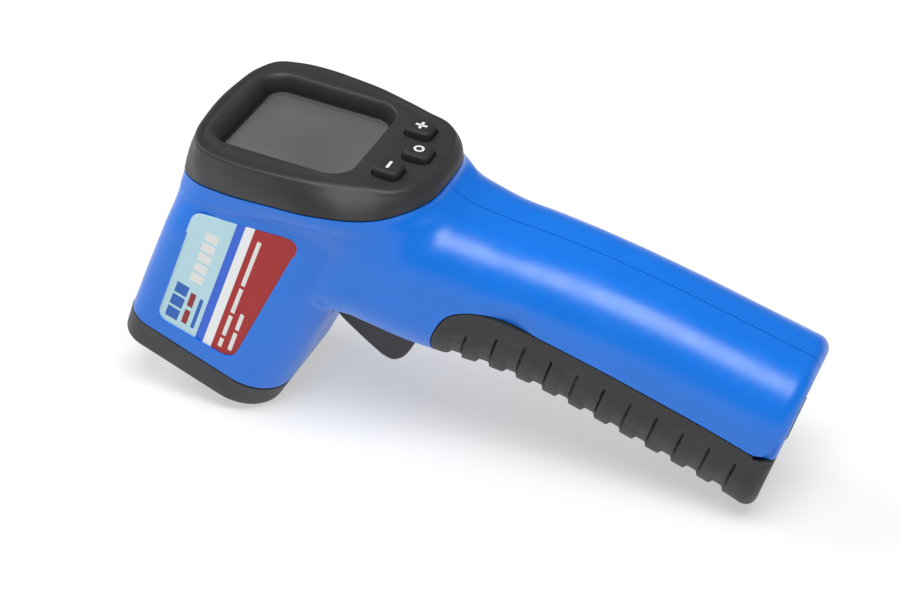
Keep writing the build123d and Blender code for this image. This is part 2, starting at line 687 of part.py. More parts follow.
def contact_plates():
    """The flat contacts: two single plates and the bridge between the cells."""
    plates = []
    inside = TRAY_FROM + TRAY_WALL
    far_end = TRAY_FROM + TRAY_LONG - TRAY_WALL
    for y in (-CELL_SPREAD, CELL_SPREAD):
        plates.append(on_grip(inside + 0.2, y, CELL_HEIGHT) * Box(0.4, 8.0, 7.0))
    plates.append(on_grip(far_end - 0.2, 0, CELL_HEIGHT) * Box(0.4, 19.0, 7.0))
    return Compound(plates)


def cell_springs():
    """Coil springs behind the flat ends of the cells."""
    near_start = TRAY_FROM + TRAY_WALL + 0.4
    far_start = CELL_FROM + CELL_LONG
    far_end = TRAY_FROM + TRAY_LONG - TRAY_WALL - 0.4
    springs = []
    for start, end, y in [(near_start, CELL_FROM, CELL_SPREAD), (far_start, far_end, -CELL_SPREAD)]:
        axis = on_grip(start, y, CELL_HEIGHT) * Rot(0, 90, 0)
        springs.append(coil_spring(axis, 2.4, 0.25, end - start, 2.5))
    return Compound(springs)


def battery_wire(y):
    """A wire from the bay, under the screw post, up to the main board."""
    start = on_grip(TRAY_FROM - 0.2, y, CELL_HEIGHT + 2.5).position
    end = on_panel(25.5, y, BOARD_DEPTH + BOARD_THICK + 0.7).position
    path = FilletPolyline(start, (50.0, y, 36.6), (40.0, y, 44.2), end, radius=4.0)
    section = Plane(origin=path @ 0, z_dir=path % 0) * Circle(WIRE_RADIUS)
    return sweep(section, path=path)


# ---- grip door ---------------------------------------------------------------------
def hinge_pin():
    return cross_bar(*HINGE_AT, HINGE_PIN_RADIUS, -HINGE_HALF, HINGE_HALF)


def lanyard_bracket():
    """The black piece in the end face: it carries the hinge pin and a bar for a strap."""
    x, z = HINGE_AT
    plate = TOE * Pos(BRACKET_PROUD / 2 - BRACKET_DEEP / 2, 0, BRACKET_TOP / 2) * Box(
        BRACKET_DEEP + BRACKET_PROUD, 2 * BRACKET_HALF, BRACKET_TOP)
    knuckle = cross_bar(x, z, DOOR_KNUCKLE + BRACKET_PROUD, -BRACKET_HALF, BRACKET_HALF)
    pocket_deep, pocket_high = STRAP_POCKET
    pocket = TOE * Pos(BRACKET_PROUD, 0, STRAP_BAR_HIGH) * Box(
        pocket_deep, 2 * BRACKET_HALF - 1.8, pocket_high)
    bar = TOE * Pos(-0.3, 0, STRAP_BAR_HIGH) * Rot(90, 0, 0) * Cylinder(0.75, 2 * BRACKET_HALF - 1.0)
    ends = plate.edges().filter_by(Axis.Y).group_by(Axis.Z)[-1]
    plate = fillet(ends, 0.6)
    bore = cross_bar(x, z, HINGE_PIN_RADIUS, -20, 20)
    return plate + knuckle - pocket + bar - bore


def battery_door():
    """The ribbed front strap: a trough that swings down about its hinge pin."""
    x, z = HINGE_AT
    foot = SEAM_FRONT_FOOT[0]
    before_door = side_prism([(-10, -40), (-10, 60), (foot, 60), (foot, -40)])
    before_hollow = side_prism([(-10, -40), (-10, 60), (foot + 4, 60), (foot + 4, -40)])
    above_hinge = side_prism([(SEAM_BACK[0] - SEAM_GAP, z), (SEAM_BACK[0] - SEAM_GAP, 40),
                              (x + 12, 40), (x + 12, z)])
    door = (grip_blank(0) & door_region(SEAM_GAP)) - before_door - above_hinge
    door -= grip_blank(WALL) - before_hollow
    for index in range(GROOVE_COUNT):
        along = GROOVE_FIRST + GROOVE_PITCH * index
        door -= on_grip(along, 0, grip_low(along)) * Rot(90, 0, 0) * Cylinder(GROOVE_RADIUS, FAR)
    door += cross_bar(x, z, DOOR_KNUCKLE, -FAR, FAR) & grip_blank(0)
    door -= cross_bar(x, z, DOOR_KNUCKLE + BRACKET_PROUD + MOVING_GAP,
                      -BRACKET_HALF - MOVING_GAP, BRACKET_HALF + MOVING_GAP)
    door -= cross_bar(x, z, HINGE_PIN_RADIUS + RUNNING_FIT, -HINGE_HALF, HINGE_HALF)
    return max(door.solids(), key=lambda solid: solid.volume)


# ---- write the parts -----------------------------------------------------------------
def all_parts():
    parts = {
        "left_housing": housing_half(-1),
        "right_housing": housing_half(1),
        "housing_screws": housing_screws(),
        "nose_bezel": nose_bezel(),
        "front_plate": front_plate(),
        "lens_tube": lens_tube(),
        "infrared_lens": infrared_lens(),
        "thermopile_sensor": thermopile_sensor(),
        "sensor_holder": sensor_holder(),
        "sensor_board": sensor_board(),
        "laser_module": laser_module(),
        "display_bezel": display_bezel(),
        "display_window": display_window(),
        "lcd_panel": lcd_panel(),
        "lcd_frame": lcd_frame(),
        "backlight_panel": backlight_panel(),
        "connector_strips": connector_strips(),
        "main_board": main_board(),
        "board_screws": board_screws(),
        "key_switches": key_switches(),
        "buzzer": buzzer(),
        "processor": processor(),
        "trigger": trigger(),
        "trigger_pin": trigger_pin(),
        "trigger_spring": trigger_spring(),
        "trigger_switch": trigger_switch(),
        "switch_board": switch_board(),
        "left_label": side_label(-1),
        "right_label": side_label(1),
        "battery_tray": battery_tray(),
        "left_cell": cell(-1),
        "right_cell": cell(1),
        "contact_plates": contact_plates(),
        "cell_springs": cell_springs(),
        "red_wire": battery_wire(4.0),
        "black_wire": battery_wire(-4.0),
        "battery_door": battery_door(),
        "hinge_pin": hinge_pin(),
        "lanyard_bracket": lanyard_bracket(),
    }
    for name, (x, y) in KEY_PLACES.items():
        parts[name] = key_cap(x, y)
    return parts


def main():
    os.makedirs("parts", exist_ok=True)
    parts = all_parts()
    boxes = [shape.bounding_box() for shape in parts.values()]
    low_x, high_x = min(box.min.X for box in boxes), max(box.max.X for box in boxes)
    low_z = min(box.min.Z for box in boxes)
    to_row = Location((-(low_x + high_x) / 2, 0, -low_z))
    print("moved by", to_row.position)
    for name, shape in parts.items():
        export_step(shape.moved(to_row), f"parts/{name}.step")


if __name__ == "__main__":
    main()
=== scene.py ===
import json
import math

import bmesh
import bpy
import numpy as np
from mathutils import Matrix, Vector

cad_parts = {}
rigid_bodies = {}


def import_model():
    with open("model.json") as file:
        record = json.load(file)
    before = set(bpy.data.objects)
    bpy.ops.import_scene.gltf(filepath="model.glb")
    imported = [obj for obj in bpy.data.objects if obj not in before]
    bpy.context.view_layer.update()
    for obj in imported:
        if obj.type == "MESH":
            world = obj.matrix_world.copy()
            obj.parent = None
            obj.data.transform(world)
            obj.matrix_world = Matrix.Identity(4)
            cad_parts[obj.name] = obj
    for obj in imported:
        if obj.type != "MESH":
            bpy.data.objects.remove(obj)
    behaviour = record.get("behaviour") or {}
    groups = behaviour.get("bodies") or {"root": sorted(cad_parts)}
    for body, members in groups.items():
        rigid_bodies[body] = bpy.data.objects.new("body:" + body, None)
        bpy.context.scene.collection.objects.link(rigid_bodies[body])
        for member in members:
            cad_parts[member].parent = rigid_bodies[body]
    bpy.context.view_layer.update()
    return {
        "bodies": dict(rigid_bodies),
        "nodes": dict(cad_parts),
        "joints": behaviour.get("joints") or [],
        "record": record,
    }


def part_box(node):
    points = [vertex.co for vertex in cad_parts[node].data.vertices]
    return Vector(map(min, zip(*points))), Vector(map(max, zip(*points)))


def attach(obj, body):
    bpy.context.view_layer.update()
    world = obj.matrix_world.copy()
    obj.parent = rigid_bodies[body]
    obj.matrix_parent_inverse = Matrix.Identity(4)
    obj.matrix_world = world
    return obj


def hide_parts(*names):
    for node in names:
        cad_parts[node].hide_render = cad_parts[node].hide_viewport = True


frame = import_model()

# The shells are drawn in millimetres in the CAD source's drawing frame, where the mirror
# plane is y = 0, and moved to the shared frame when their meshes are made.
MM = 0.001
HINGE_AT = (121.4, 14.3)
hinge_low, hinge_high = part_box("hinge_pin")
DATUM = (hinge_low + hinge_high) / 2 - Vector((HINGE_AT[0], 0, HINGE_AT[1])) * MM

WALL = 2.0
SEAM_GAP = 0.3
MOVING_GAP = 0.35
# half the gap on the parting line, and the tongue behind it that keeps light out
HALF_GAP = 0.1
TONGUE_REACH = 0.5
TONGUE_GAP = 0.02
# beyond the whole object
FAR = 200.0
# corners of a square about its middle
SQUARE = [(-1, -1), (1, -1), (1, 1), (-1, 1)]
# grid sizes of the outer surface, of the inner ones, and of the hinge knuckles' blank
SHELL_PITCH = 0.7
HOLLOW_PITCH = 1.6
BLANK_PITCH = 1.2


# ---- side-view frames ----
class Lean:
    """A frame square to the mirror plane, whose x points toward the grip and falls."""

    def __init__(self, x, z, fall):
        self.x, self.z = x, z
        self.cos, self.sin = math.cos(math.radians(fall)), math.sin(math.radians(fall))

    def local(self, x, z):
        dx, dz = x - self.x, z - self.z
        return dx * self.cos - dz * self.sin, dx * self.sin + dz * self.cos

    def world(self, along, up):
        x = self.x + along * self.cos + up * self.sin
        return x, self.z - along * self.sin + up * self.cos

    def points(self, along, y, up):
        x, z = self.world(along, up)
        return np.stack([x, y, z], axis=1)


# the drawing, the barrel, the grip, the key panel, the display housing's lower border, and
# the end face of the grip
DRAWING = Lean(0, 0, 0)
BARREL = Lean(0, 0, 24.0)
GRIP = Lean(60.0, 37.4, 18.3)
PANEL = Lean(10, 66.6, 5.1)
BORDER = Lean(10, 58.6, -3.3)
TOE = Lean(122.9, 14.3, 16.2)


# ---- curves and blends ----
def smooth_curve(t, knots, values):
    """A smooth curve through values at knots, level with its ends outside them."""
    knots, values = np.asarray(knots, float), np.asarray(values, float)
    slopes = np.gradient(values, knots)
    index = np.clip(np.searchsorted(knots, t) - 1, 0, len(knots) - 2)
    step = knots[index + 1] - knots[index]
    u = np.clip((t - knots[index]) / step, 0, 1)
    start, end = values[index], values[index + 1]
    rise = u * u * (3 - 2 * u)
    lead = (u - 2 * u**2 + u**3) * slopes[index] + (u**3 - u**2) * slopes[index + 1]
    return start + (end - start) * rise + lead * step


def distances(points):
    """How far along a line each of its points lies."""
    steps = np.linalg.norm(np.diff(points, axis=0), axis=1)
    return np.concatenate([[0], np.cumsum(steps)])


def ease(t):
    """0 below 0, 1 above 1, smooth between."""
    t = np.clip(t, 0, 1)
    return t * t * (3 - 2 * t)


def smooth_min(a, b, blend):
    gap = np.maximum(blend - np.abs(a - b), 0) / blend
    return np.minimum(a, b) - gap * gap * blend / 4


def round_max(a, b, radius):
    """The overlap of two fields, with its edge rounded to a radius."""
    a, b = a + radius, b + radius
    inside = np.minimum(np.maximum(a, b), 0)
    return inside + np.hypot(np.maximum(a, 0), np.maximum(b, 0)) - radius


def quarter_turn(steps):
    """Sine and cosine at even steps of a quarter turn."""
    turns = [math.radians(90 / steps * i) for i in range(steps + 1)]
    return [(math.sin(t), math.cos(t)) for t in turns]


def closed_outline(half_points, count=720):
    """Direction and distance from the centre of a smooth outline given by one half."""
    half = np.array(half_points, float)
    centre = (half[0, 0] + half[-1, 0]) / 2
    mirrored = half[1:-1][::-1] * (1, -1)
    loop = np.vstack([half, mirrored])
    wrapped = np.vstack([loop[-3:], loop, loop[:4]])
    reach = distances(wrapped)
    t = np.linspace(reach[3], reach[3 + len(half) - 1], count)
    x = smooth_curve(t, reach, wrapped[:, 0]) - centre
    y = np.maximum(smooth_curve(t, reach, wrapped[:, 1]), 0)
    angle, radius = np.arctan2(y, x)[::-1], np.hypot(x, y)[::-1]
    return centre, angle, radius


# halves of the display housing's outlines: its lower border, and its rim on the panel
BORDER_HALF = [(-30.6, 0), (-30.2, 9.0), (-28.6, 15.2), (-24.6, 18.8), (-17.0, 21.6), (-3.0, 23.9),
               (6.5, 25.0), (14.6, 24.3), (21.2, 21.2), (25.5, 17.1), (29.3, 11.0), (30.6, 0)]
BORDER_DROP = 1.0
RIM_HALF = [(-26.6, 0), (-26.1, 8.0), (-24.9, 15.4), (-22.0, 20.9), (-17.0, 23.0), (-9.0, 23.8),
            (-4.0, 23.4), (5.0, 22.0), (12.0, 19.8), (18.0, 17.9), (23.2, 16.4), (26.6, 13.2),
            (28.0, 8.5), (28.9, 0)]
BORDER_CURVE = closed_outline(BORDER_HALF)
RIM_CURVE = closed_outline(RIM_HALF)


def border_drop(plan_x):
    """How far the border lies under its plane: it sinks behind the keys."""
    return BORDER_DROP * ease((plan_x - 10) / 14)


def outline_at(curve, angle):
    """Plan point of an outline in a direction."""
    centre, angles, radii = curve
    radius = np.interp(np.abs(np.arctan2(np.sin(angle), np.cos(angle))), angles, radii)
    return centre + radius * np.cos(angle), radius * np.sin(angle)


# ---- the body's shape as fields: negative inside, in millimetres ----
# along the barrel from the nose: front, back and half width
BARREL_ALONG = [-4.65, 3.6, 64.0]
BARREL_FRONT = [-38.1, -38.6, -41.2]
BARREL_BACK = [1.9, 3.0, 5.2]
BARREL_HALF = [21.0, 22.2, 22.8]
# radius of the upright edges, front and back, along the barrel
FRONT_RADIUS = [6.3, 6.6, 9.5]
BACK_RADIUS = 11.5

# along the grip: top, bottom, half width, and rounding radius of the bottom edges
GRIP_ALONG = [-60, -46, -36, -28, -20, -10, 0, 8, 20, 34, 50, 60, 68, 76]
GRIP_TOP = [8.0, 9.0, 10.4, 11.6, 12.2, 13.2, 14.9, 16.0, 17.1, 17.8, 18.1, 18.3, 18.4, 18.5]
GRIP_LOW = [-22.4, -22.4, -22.4, -23.0, -23.6, -22.9, -21.9, -21.4, -21.2, -21.7, -22.2, -22.8,
            -23.7, -24.2]
GRIP_HALF = [24.0, 23.8, 22.6, 21.2, 19.6, 18.0, 17.6, 17.3, 17.1] + [17.0] * 5
GRIP_LOW_RADIUS = [14] * 6 + [16] + [16.6] * 7
GRIP_TOP_RADIUS = 13.0
# where the grip begins inside the barrel, and the blend between the two
GRIP_START = -48.0
NECK_BLEND = 2.5
# the grip's end face, its edge, and its lower corner, which starts a way along the grip
END_OUT = 0.3
END_RADIUS = 3.2
TOE_RADIUS = 6.4
TOE_FROM = 45.0
# the collar under the display housing: its slope and bend with depth, its blends with the
# body, and the depths at which it has become the body
COLLAR_SLOPE = 0.27
COLLAR_BEND = 0.02
COLLAR_BLEND = 1.2
COLLAR_GRIP_BLEND = 8.2
COLLAR_DEPTH = 5.0
COLLAR_FRONT_DEPTH = 14.0
COLLAR_GRIP_DEPTH = 3.5
# how far the front moves forward for each millimetre below the display housing
FRONT_SLANT = 0.42


def barrel_half_width(along):
    return np.interp(along, BARREL_ALONG, BARREL_HALF)


def body_field(x, y, z):
    """Barrel, neck and grip as one smooth body, before its seams are cut."""
    across, along = BARREL.local(x, z)
    barrel = np.maximum(np.interp(along, BARREL_ALONG, BARREL_FRONT) - across,
                        across - np.interp(along, BARREL_ALONG, BARREL_BACK))
    station, height = GRIP.local(x, z)
    top = smooth_curve(station, GRIP_ALONG, GRIP_TOP)
    low = smooth_curve(station, GRIP_ALONG, GRIP_LOW)
    grip = np.maximum(np.maximum(height - top, low - height), GRIP_START - station)
    side_view = smooth_min(barrel, grip, NECK_BLEND)

    half = np.minimum(barrel_half_width(along), smooth_curve(station, GRIP_ALONG, GRIP_HALF))
    low_radius = smooth_curve(station, GRIP_ALONG, GRIP_LOW_RADIUS)
    in_grip = ease((barrel + 2) / 8)
    grip_radius = low_radius + (GRIP_TOP_RADIUS - low_radius) * ease((height + 8) / 10)
    upright = np.interp(along, BARREL_ALONG, FRONT_RADIUS)
    upright = upright + (BACK_RADIUS - upright) * ease((across + 30) / 20)
    radius = upright + (grip_radius - upright) * in_grip
    body = round_max(side_view, np.abs(y) - half, radius)

    end = TOE.local(x, z)[0] - END_OUT
    body = round_max(body, end, END_RADIUS)
    toe = round_max(low - height, end, TOE_RADIUS)
    body = np.where(station > TOE_FROM, np.maximum(body, toe), body)
    return under_display(body, x, y, z)


def under_display(body, x, y, z):
    """Brings the body out to the display housing's border at the border plane."""
    plan_x, up = BORDER.local(x, z)
    depth = np.maximum(-up - border_drop(plan_x), 0)
    centre, angles, radii = BORDER_CURVE
    toward_front = ease((-12 - plan_x) / 10)
    from_centre = plan_x - centre + FRONT_SLANT * toward_front * depth
    edge = np.interp(np.arctan2(np.abs(y), from_centre), angles, radii)
    outline = np.hypot(from_centre, y) - edge
    toward_grip = ease((x - 12) / 24)
    collar = outline + COLLAR_SLOPE * depth + COLLAR_BEND * depth**2
    blend = COLLAR_BLEND + (COLLAR_GRIP_BLEND - COLLAR_BLEND) * toward_grip
    joined = smooth_min(body, collar, blend)
    full_depth = (COLLAR_DEPTH + (COLLAR_GRIP_DEPTH - COLLAR_DEPTH) * toward_grip
                  + (COLLAR_FRONT_DEPTH - COLLAR_DEPTH) * toward_front)
    return outline + (joined - outline) * ease(depth / full_depth)


# ---- meshes from fields ----
def pairs_along(axis):
    """Indices of the first and the second of all neighbouring grid points."""
    first, second = [slice(None)] * 3, [slice(None)] * 3
    first[axis], second[axis] = slice(0, -1), slice(1, None)
    return tuple(first), tuple(second)


def field_mesh(field, frame, low, high, pitch):
    """Vertices and quads of the surface where field is 0, on a grid in a side-view frame."""
    low, high, pitch = (np.array(v, float) for v in (low, high, pitch))
    counts = np.ceil((high - low) / pitch).astype(int) + 1
    axes = [low[i] + pitch[i] * np.arange(counts[i]) for i in range(3)]
    along, y, up = np.meshgrid(*axes, indexing="ij")
    x, z = frame.world(along, up)
    value = field(x, y, z)
    inside = value < 0

    total = np.zeros(tuple(counts - 1) + (3,))
    hits = np.zeros(tuple(counts - 1))
    grid = np.stack([along, y, up], axis=-1)
    for axis in range(3):
        first, second = pairs_along(axis)
        a, b = value[first], value[second]
        crossing = inside[first] != inside[second]
        share = np.where(crossing, a / np.where(crossing, a - b, 1), 0)
        point = grid[first] + (grid[second] - grid[first]) * share[..., None]
        others = [i for i in range(3) if i != axis]
        for shift in ((0, 0), (0, 1), (1, 0), (1, 1)):
            part = [slice(None)] * 3
            for other, offset in zip(others, shift):
                part[other] = slice(offset, counts[other] - 1 + offset)
            part = tuple(part)
            hits += crossing[part]
            total += point[part] * crossing[part][..., None]
    used = hits > 0
    index = np.full(used.shape, -1)
    index[used] = np.arange(used.sum())
    points = total[used] / hits[used][:, None]

    quads = []
    for axis in range(3):
        first, second = pairs_along(axis)
        starts_inside = inside[first]
        cells = np.argwhere(starts_inside != inside[second])
        others = [(axis + 1) % 3, (axis + 2) % 3]
        keep = np.all([(cells[:, o] > 0) & (cells[:, o] < counts[o] - 1) for o in others], axis=0)
        cells = cells[keep]
        corners = []
        for du, dv in ((-1, -1), (0, -1), (0, 0), (-1, 0)):
            cell = cells.copy()
            cell[:, others[0]] += du
            cell[:, others[1]] += dv
            corners.append(index[tuple(cell.T)])
        quad = np.stack(corners, axis=1)
        forward = starts_inside[tuple(cells.T)]
        quads.append(np.where(forward[:, None], quad, quad[:, ::-1]))
    quads = np.vstack(quads)

    return settle(field, frame.points(*points.T), float(pitch.min())), quads


def settle(field, points, pitch, rounds=3, step=0.02):
    """Moves points along the field's gradient until they lie on its surface."""
    for _ in range(rounds):
        value = field(*points.T)
        slope = np.stack([
            (field(*(points + offset).T) - field(*(points - offset).T)) / (2 * step)
            for offset in np.eye(3) * step], axis=1)
        size = np.maximum((slope**2).sum(axis=1), 0.05)
        move = -slope * (value / size)[:, None]
        points = points + np.clip(move, -pitch, pitch)
    return points


def add_mesh(name, points, faces, sharp=35):
    """An object from drawing-frame millimetres, smooth except across sharp edges."""
    mesh = bpy.data.meshes.new(name)
    placed = np.asarray(points) * MM + np.array(DATUM)
    mesh.from_pydata(placed.tolist(), [], [list(map(int, face)) for face in faces])
    mesh.validate()
    obj = bpy.data.objects.new(name, mesh)
    bpy.context.scene.collection.objects.link(obj)
    finish_shading(obj, sharp)
    return obj


def finish_shading(obj, sharp=35):
    mesh = obj.data
    mesh.polygons.foreach_set("use_smooth", [True] * len(mesh.polygons))
    mesh.set_sharp_from_angle(angle=math.radians(sharp))
    mesh.update()


def discard(*objects):
    for obj in objects:
        mesh = obj.data
        bpy.data.objects.remove(obj)
        bpy.data.meshes.remove(mesh)


def cut(obj, tool, operation="DIFFERENCE", keep_tool=False):
    """Applies one boolean to obj's mesh."""
    modifier = obj.modifiers.new("cut", "BOOLEAN")
    modifier.object = tool
    modifier.operation = operation
    modifier.solver = "MANIFOLD"
    graph = bpy.context.evaluated_depsgraph_get()
    result = bpy.data.meshes.new_from_object(obj.evaluated_get(graph))
    obj.modifiers.clear()
    old = obj.data
    obj.data = result
    bpy.data.meshes.remove(old)
    if not keep_tool:
        discard(tool)
    return obj


def copy_of(obj, name):
    twin = bpy.data.objects.new(name, obj.data.copy())
    bpy.context.scene.collection.objects.link(twin)
    return twin


def side_prism(name, outline, half=FAR, y=0.0):
    """A closed XZ outline made solid across the mirror plane."""
    count = len(outline)
    points = [(x, y - half, z) for x, z in outline] + [(x, y + half, z) for x, z in outline]
    faces = [(i, (i + 1) % count, (i + 1) % count + count, i + count) for i in range(count)]
    faces += [tuple(reversed(range(count))), tuple(range(count, 2 * count))]
    obj = add_mesh(name, points, faces)
    outward(obj)
    return obj


def outward(obj):
    """Turns all faces outward."""
    work = bmesh.new()
    work.from_mesh(obj.data)
    bmesh.ops.recalc_face_normals(work, faces=work.faces)
    work.to_mesh(obj.data)
    work.free()


def block_under(name, frame, up):
    """A block under a plane of a side-view frame."""
    corners = ((-FAR, up), (FAR, up), (FAR, up - FAR), (-FAR, up - FAR))
    return side_prism(name, [frame.world(along, height) for along, height in corners])


def layer(name, y_low, y_high):
    """A block of everything between two values of y."""
    outline = [(x * FAR, z * FAR) for x, z in SQUARE]
    return side_prism(name, outline, (y_high - y_low) / 2, (y_low + y_high) / 2)


def circle(centre, radius, count):
    turns = [2 * math.pi * i / count for i in range(count)]
    return [(centre[0] + radius * math.cos(t), centre[1] + radius * math.sin(t)) for t in turns]


def rod(name, x, z, radius, y_low, y_high):
    """A round bar square to the mirror plane."""
    return side_prism(name, circle((x, z), radius, 48), (y_high - y_low) / 2, (y_low + y_high) / 2)


def loft(name, rings, sharp=35, closed=True):
    """Rings of equal length joined in order, and closed into a loop or by flat ends."""
    count = len(rings[0])
    points = np.vstack(rings)
    faces = []
    for r in range(len(rings) if closed else len(rings) - 1):
        a, b = r * count, (r + 1) % len(rings) * count
        faces += [(a + i, a + (i + 1) % count, b + (i + 1) % count, b + i) for i in range(count)]
    if not closed:
        last = (len(rings) - 1) * count
        faces += [tuple(reversed(range(count))), tuple(range(last, last + count))]
    obj = add_mesh(name, points, faces, sharp)
    outward(obj)
    finish_shading(obj, sharp)
    return obj


# ---- shells ----
SEAM_CURVE = [(41.5, 19.0), (43.2, 29.5), (47.4, 36.1), (53.0, 38.0), (65.0, 36.1), (78.0, 32.1),
              (98.5, 25.0), (112.0, 20.0), (119.2, 17.0)]
TOE_STEP = 16.3


def seam_line(count=90):
    """Points of the seam between the housing and the door, front to back."""
    knots = np.array(SEAM_CURVE)
    reach = distances(knots)
    t = np.linspace(0, reach[-1], count)
    return np.stack([smooth_curve(t, reach, values) for values in knots.T], axis=1)


def door_outline(gap):
    """The side-view region of the door, moved away from the seam by gap."""
    line = seam_line()
    along = np.gradient(line, axis=0)
    normal = np.stack([along[:, 1], -along[:, 0]], axis=1)
    normal /= np.linalg.norm(normal, axis=1)[:, None]
    line = line + normal * gap
    end_x = SEAM_CURVE[-1][0] - gap
    tail = [(end_x, TOE_STEP - gap), (140, TOE_STEP - gap), (140, -30), (line[0, 0], -30)]
    return [tuple(point) for point in line] + tail


# lids over the display housing's border and under the nose, so that the body closes
TOP_LID = 4.0
NOSE_LID = -6.0


def closed_body(x, y, z, inset=0.0):
    """The body with its lids, shrunk by inset."""
    value = np.maximum(body_field(x, y, z), BORDER.local(x, z)[1] - TOP_LID)
    return np.maximum(value, NOSE_LID - BARREL.local(x, z)[1]) + inset


SCOOP = (61.5, 36.2)
SCOOP_REACH = (7.4, 6.4)
SCOOP_DEPTH = 1.0


def scoop(x, z):
    """Depth of the thumb recess beside the door's front edge."""
    along, up = (x - SCOOP[0]) / SCOOP_REACH[0], (z - SCOOP[1]) / SCOOP_REACH[1]
    return SCOOP_DEPTH * np.clip(1.3 * (1 - np.hypot(along, up)), 0, 1)


# the fold line: its depth under the display housing's border, and its step
CREASE_DEPTH = 3.9
CREASE_STEP = 0.45


def crease(x, z):
    """How far the body stands in below the fold line under the display."""
    plan_x, up = BORDER.local(x, z)
    depth = -up - border_drop(plan_x)
    step = ease((depth - CREASE_DEPTH) / 0.8) * ease((30 - x) / 14)
    return CREASE_STEP * step * ease((26 - depth) / 18) * (1 - 0.6 * ease((-18 - plan_x) / 8))


# the flat step cut into each side beside the toe
TOE_PANEL = [(117.2, 17.7), (119.4, 17.2), (121.2, 17.5), (122.8, 18.9), (124.2, 21.4), (130.0, 26.0),
             (130.0, 8.0), (117.2, 8.0)]
TOE_PANEL_HALF = 15.7

BODY_LOW = (-48, -27, -12)
BODY_HIGH = (130, 27, 76)


def body_solid(name, inset, pitch):
    """The body as a closed mesh; only the outermost has the scoop and the fold line."""
    def field(x, y, z):
        value = closed_body(x, y, z, inset)
        return value if inset else value + scoop(x, z) + crease(x, z)
    return add_mesh(name, *field_mesh(field, DRAWING, BODY_LOW, BODY_HIGH, (pitch,) * 3))


# the trigger's slot, the slot for the bracket in the end face, and the nose's seam
SLOT_OUTLINE = [(11.4, 22.4), (13.2, 16.0), (36.2, 8.0), (36.2, 32.5), (12.0, 32.5)]
TRIGGER_HALF = 6.4
BRACKET_HALF = 3.3
BRACKET_TOP = 7.0
NOSE_SEAM = 3.6
# places of the housing screws, and how far their posts reach from the mirror plane
HOUSING_SCREWS = [(-20.0, 41.5, 16.5), (2.6, 11.8, 15.0), (48.0, 43.5, 15.0), (119.0, 30.0, 12.5)]
POST_RADIUS = 3.5
SCREW_HEAD = 2.8
HEAD_SEAT = 8.0

# the label's corners, the reach of their rounding, its pocket's depth, and its own
LABEL_CORNERS = [(-13.0, 51.0), (13.6, 49.6), (-5.6, 12.1), (-25.0, 19.4)]
LABEL_ROUNDING = [2.4, 4.4, 3.6, 3.0]
POCKET_DEPTH = 0.7
LABEL_RECESS = 0.35
# how far its sheet reaches into the pocket's walls
LABEL_TUCK = 0.3


def barrel_side(x, z):
    """Distance of the barrel's flat side from the mirror plane."""
    return barrel_half_width(BARREL.local(x, z)[1])


def rounded_corners(outline, reaches, count=8):
    """The outline with each corner replaced by a curve that starts a given reach from it."""
    points = [Vector(point) for point in outline]
    result = []
    neighbours = zip(points[-1:] + points[:-1], points, points[1:] + points[:1], reaches)
    for before, corner, after, wanted in neighbours:
        reach = min(wanted, (before - corner).length / 2.2, (after - corner).length / 2.2)
        start = corner + (before - corner).normalized() * reach
        end = corner + (after - corner).normalized() * reach
        for i in range(count + 1):
            t = i / count
            result.append(start * (1 - t) ** 2 + corner * 2 * t * (1 - t) + end * t**2)
    return result


def moved_in(outline, distance):
    """A convex outline moved to the right of the way it runs."""
    count = len(outline)
    result = []
    for i, point in enumerate(outline):
        along = outline[(i + 1) % count] - outline[i - 1]
        if along.length < 1e-9:
            along = outline[(i + 2) % count] - outline[i - 2]
        normal = Vector((along.y, -along.x)).normalized()
        result.append(point + normal * distance)
    return result


def side_ring(outline, side, out):
    """An outline of the side view laid on one flat side of the barrel, moved out from it."""
    return [(p.x, side * (barrel_side(p.x, p.y) + out), p.y) for p in outline]


def label_slab(name, side, inset, deep, proud):
    """A slab with the label's outline on one flat side of the barrel."""
    outline = moved_in(rounded_corners(LABEL_CORNERS, LABEL_ROUNDING), inset)
    rings = [side_ring(outline, side, out) for out in (-deep, proud)]
    return loft(name, rings, closed=False)


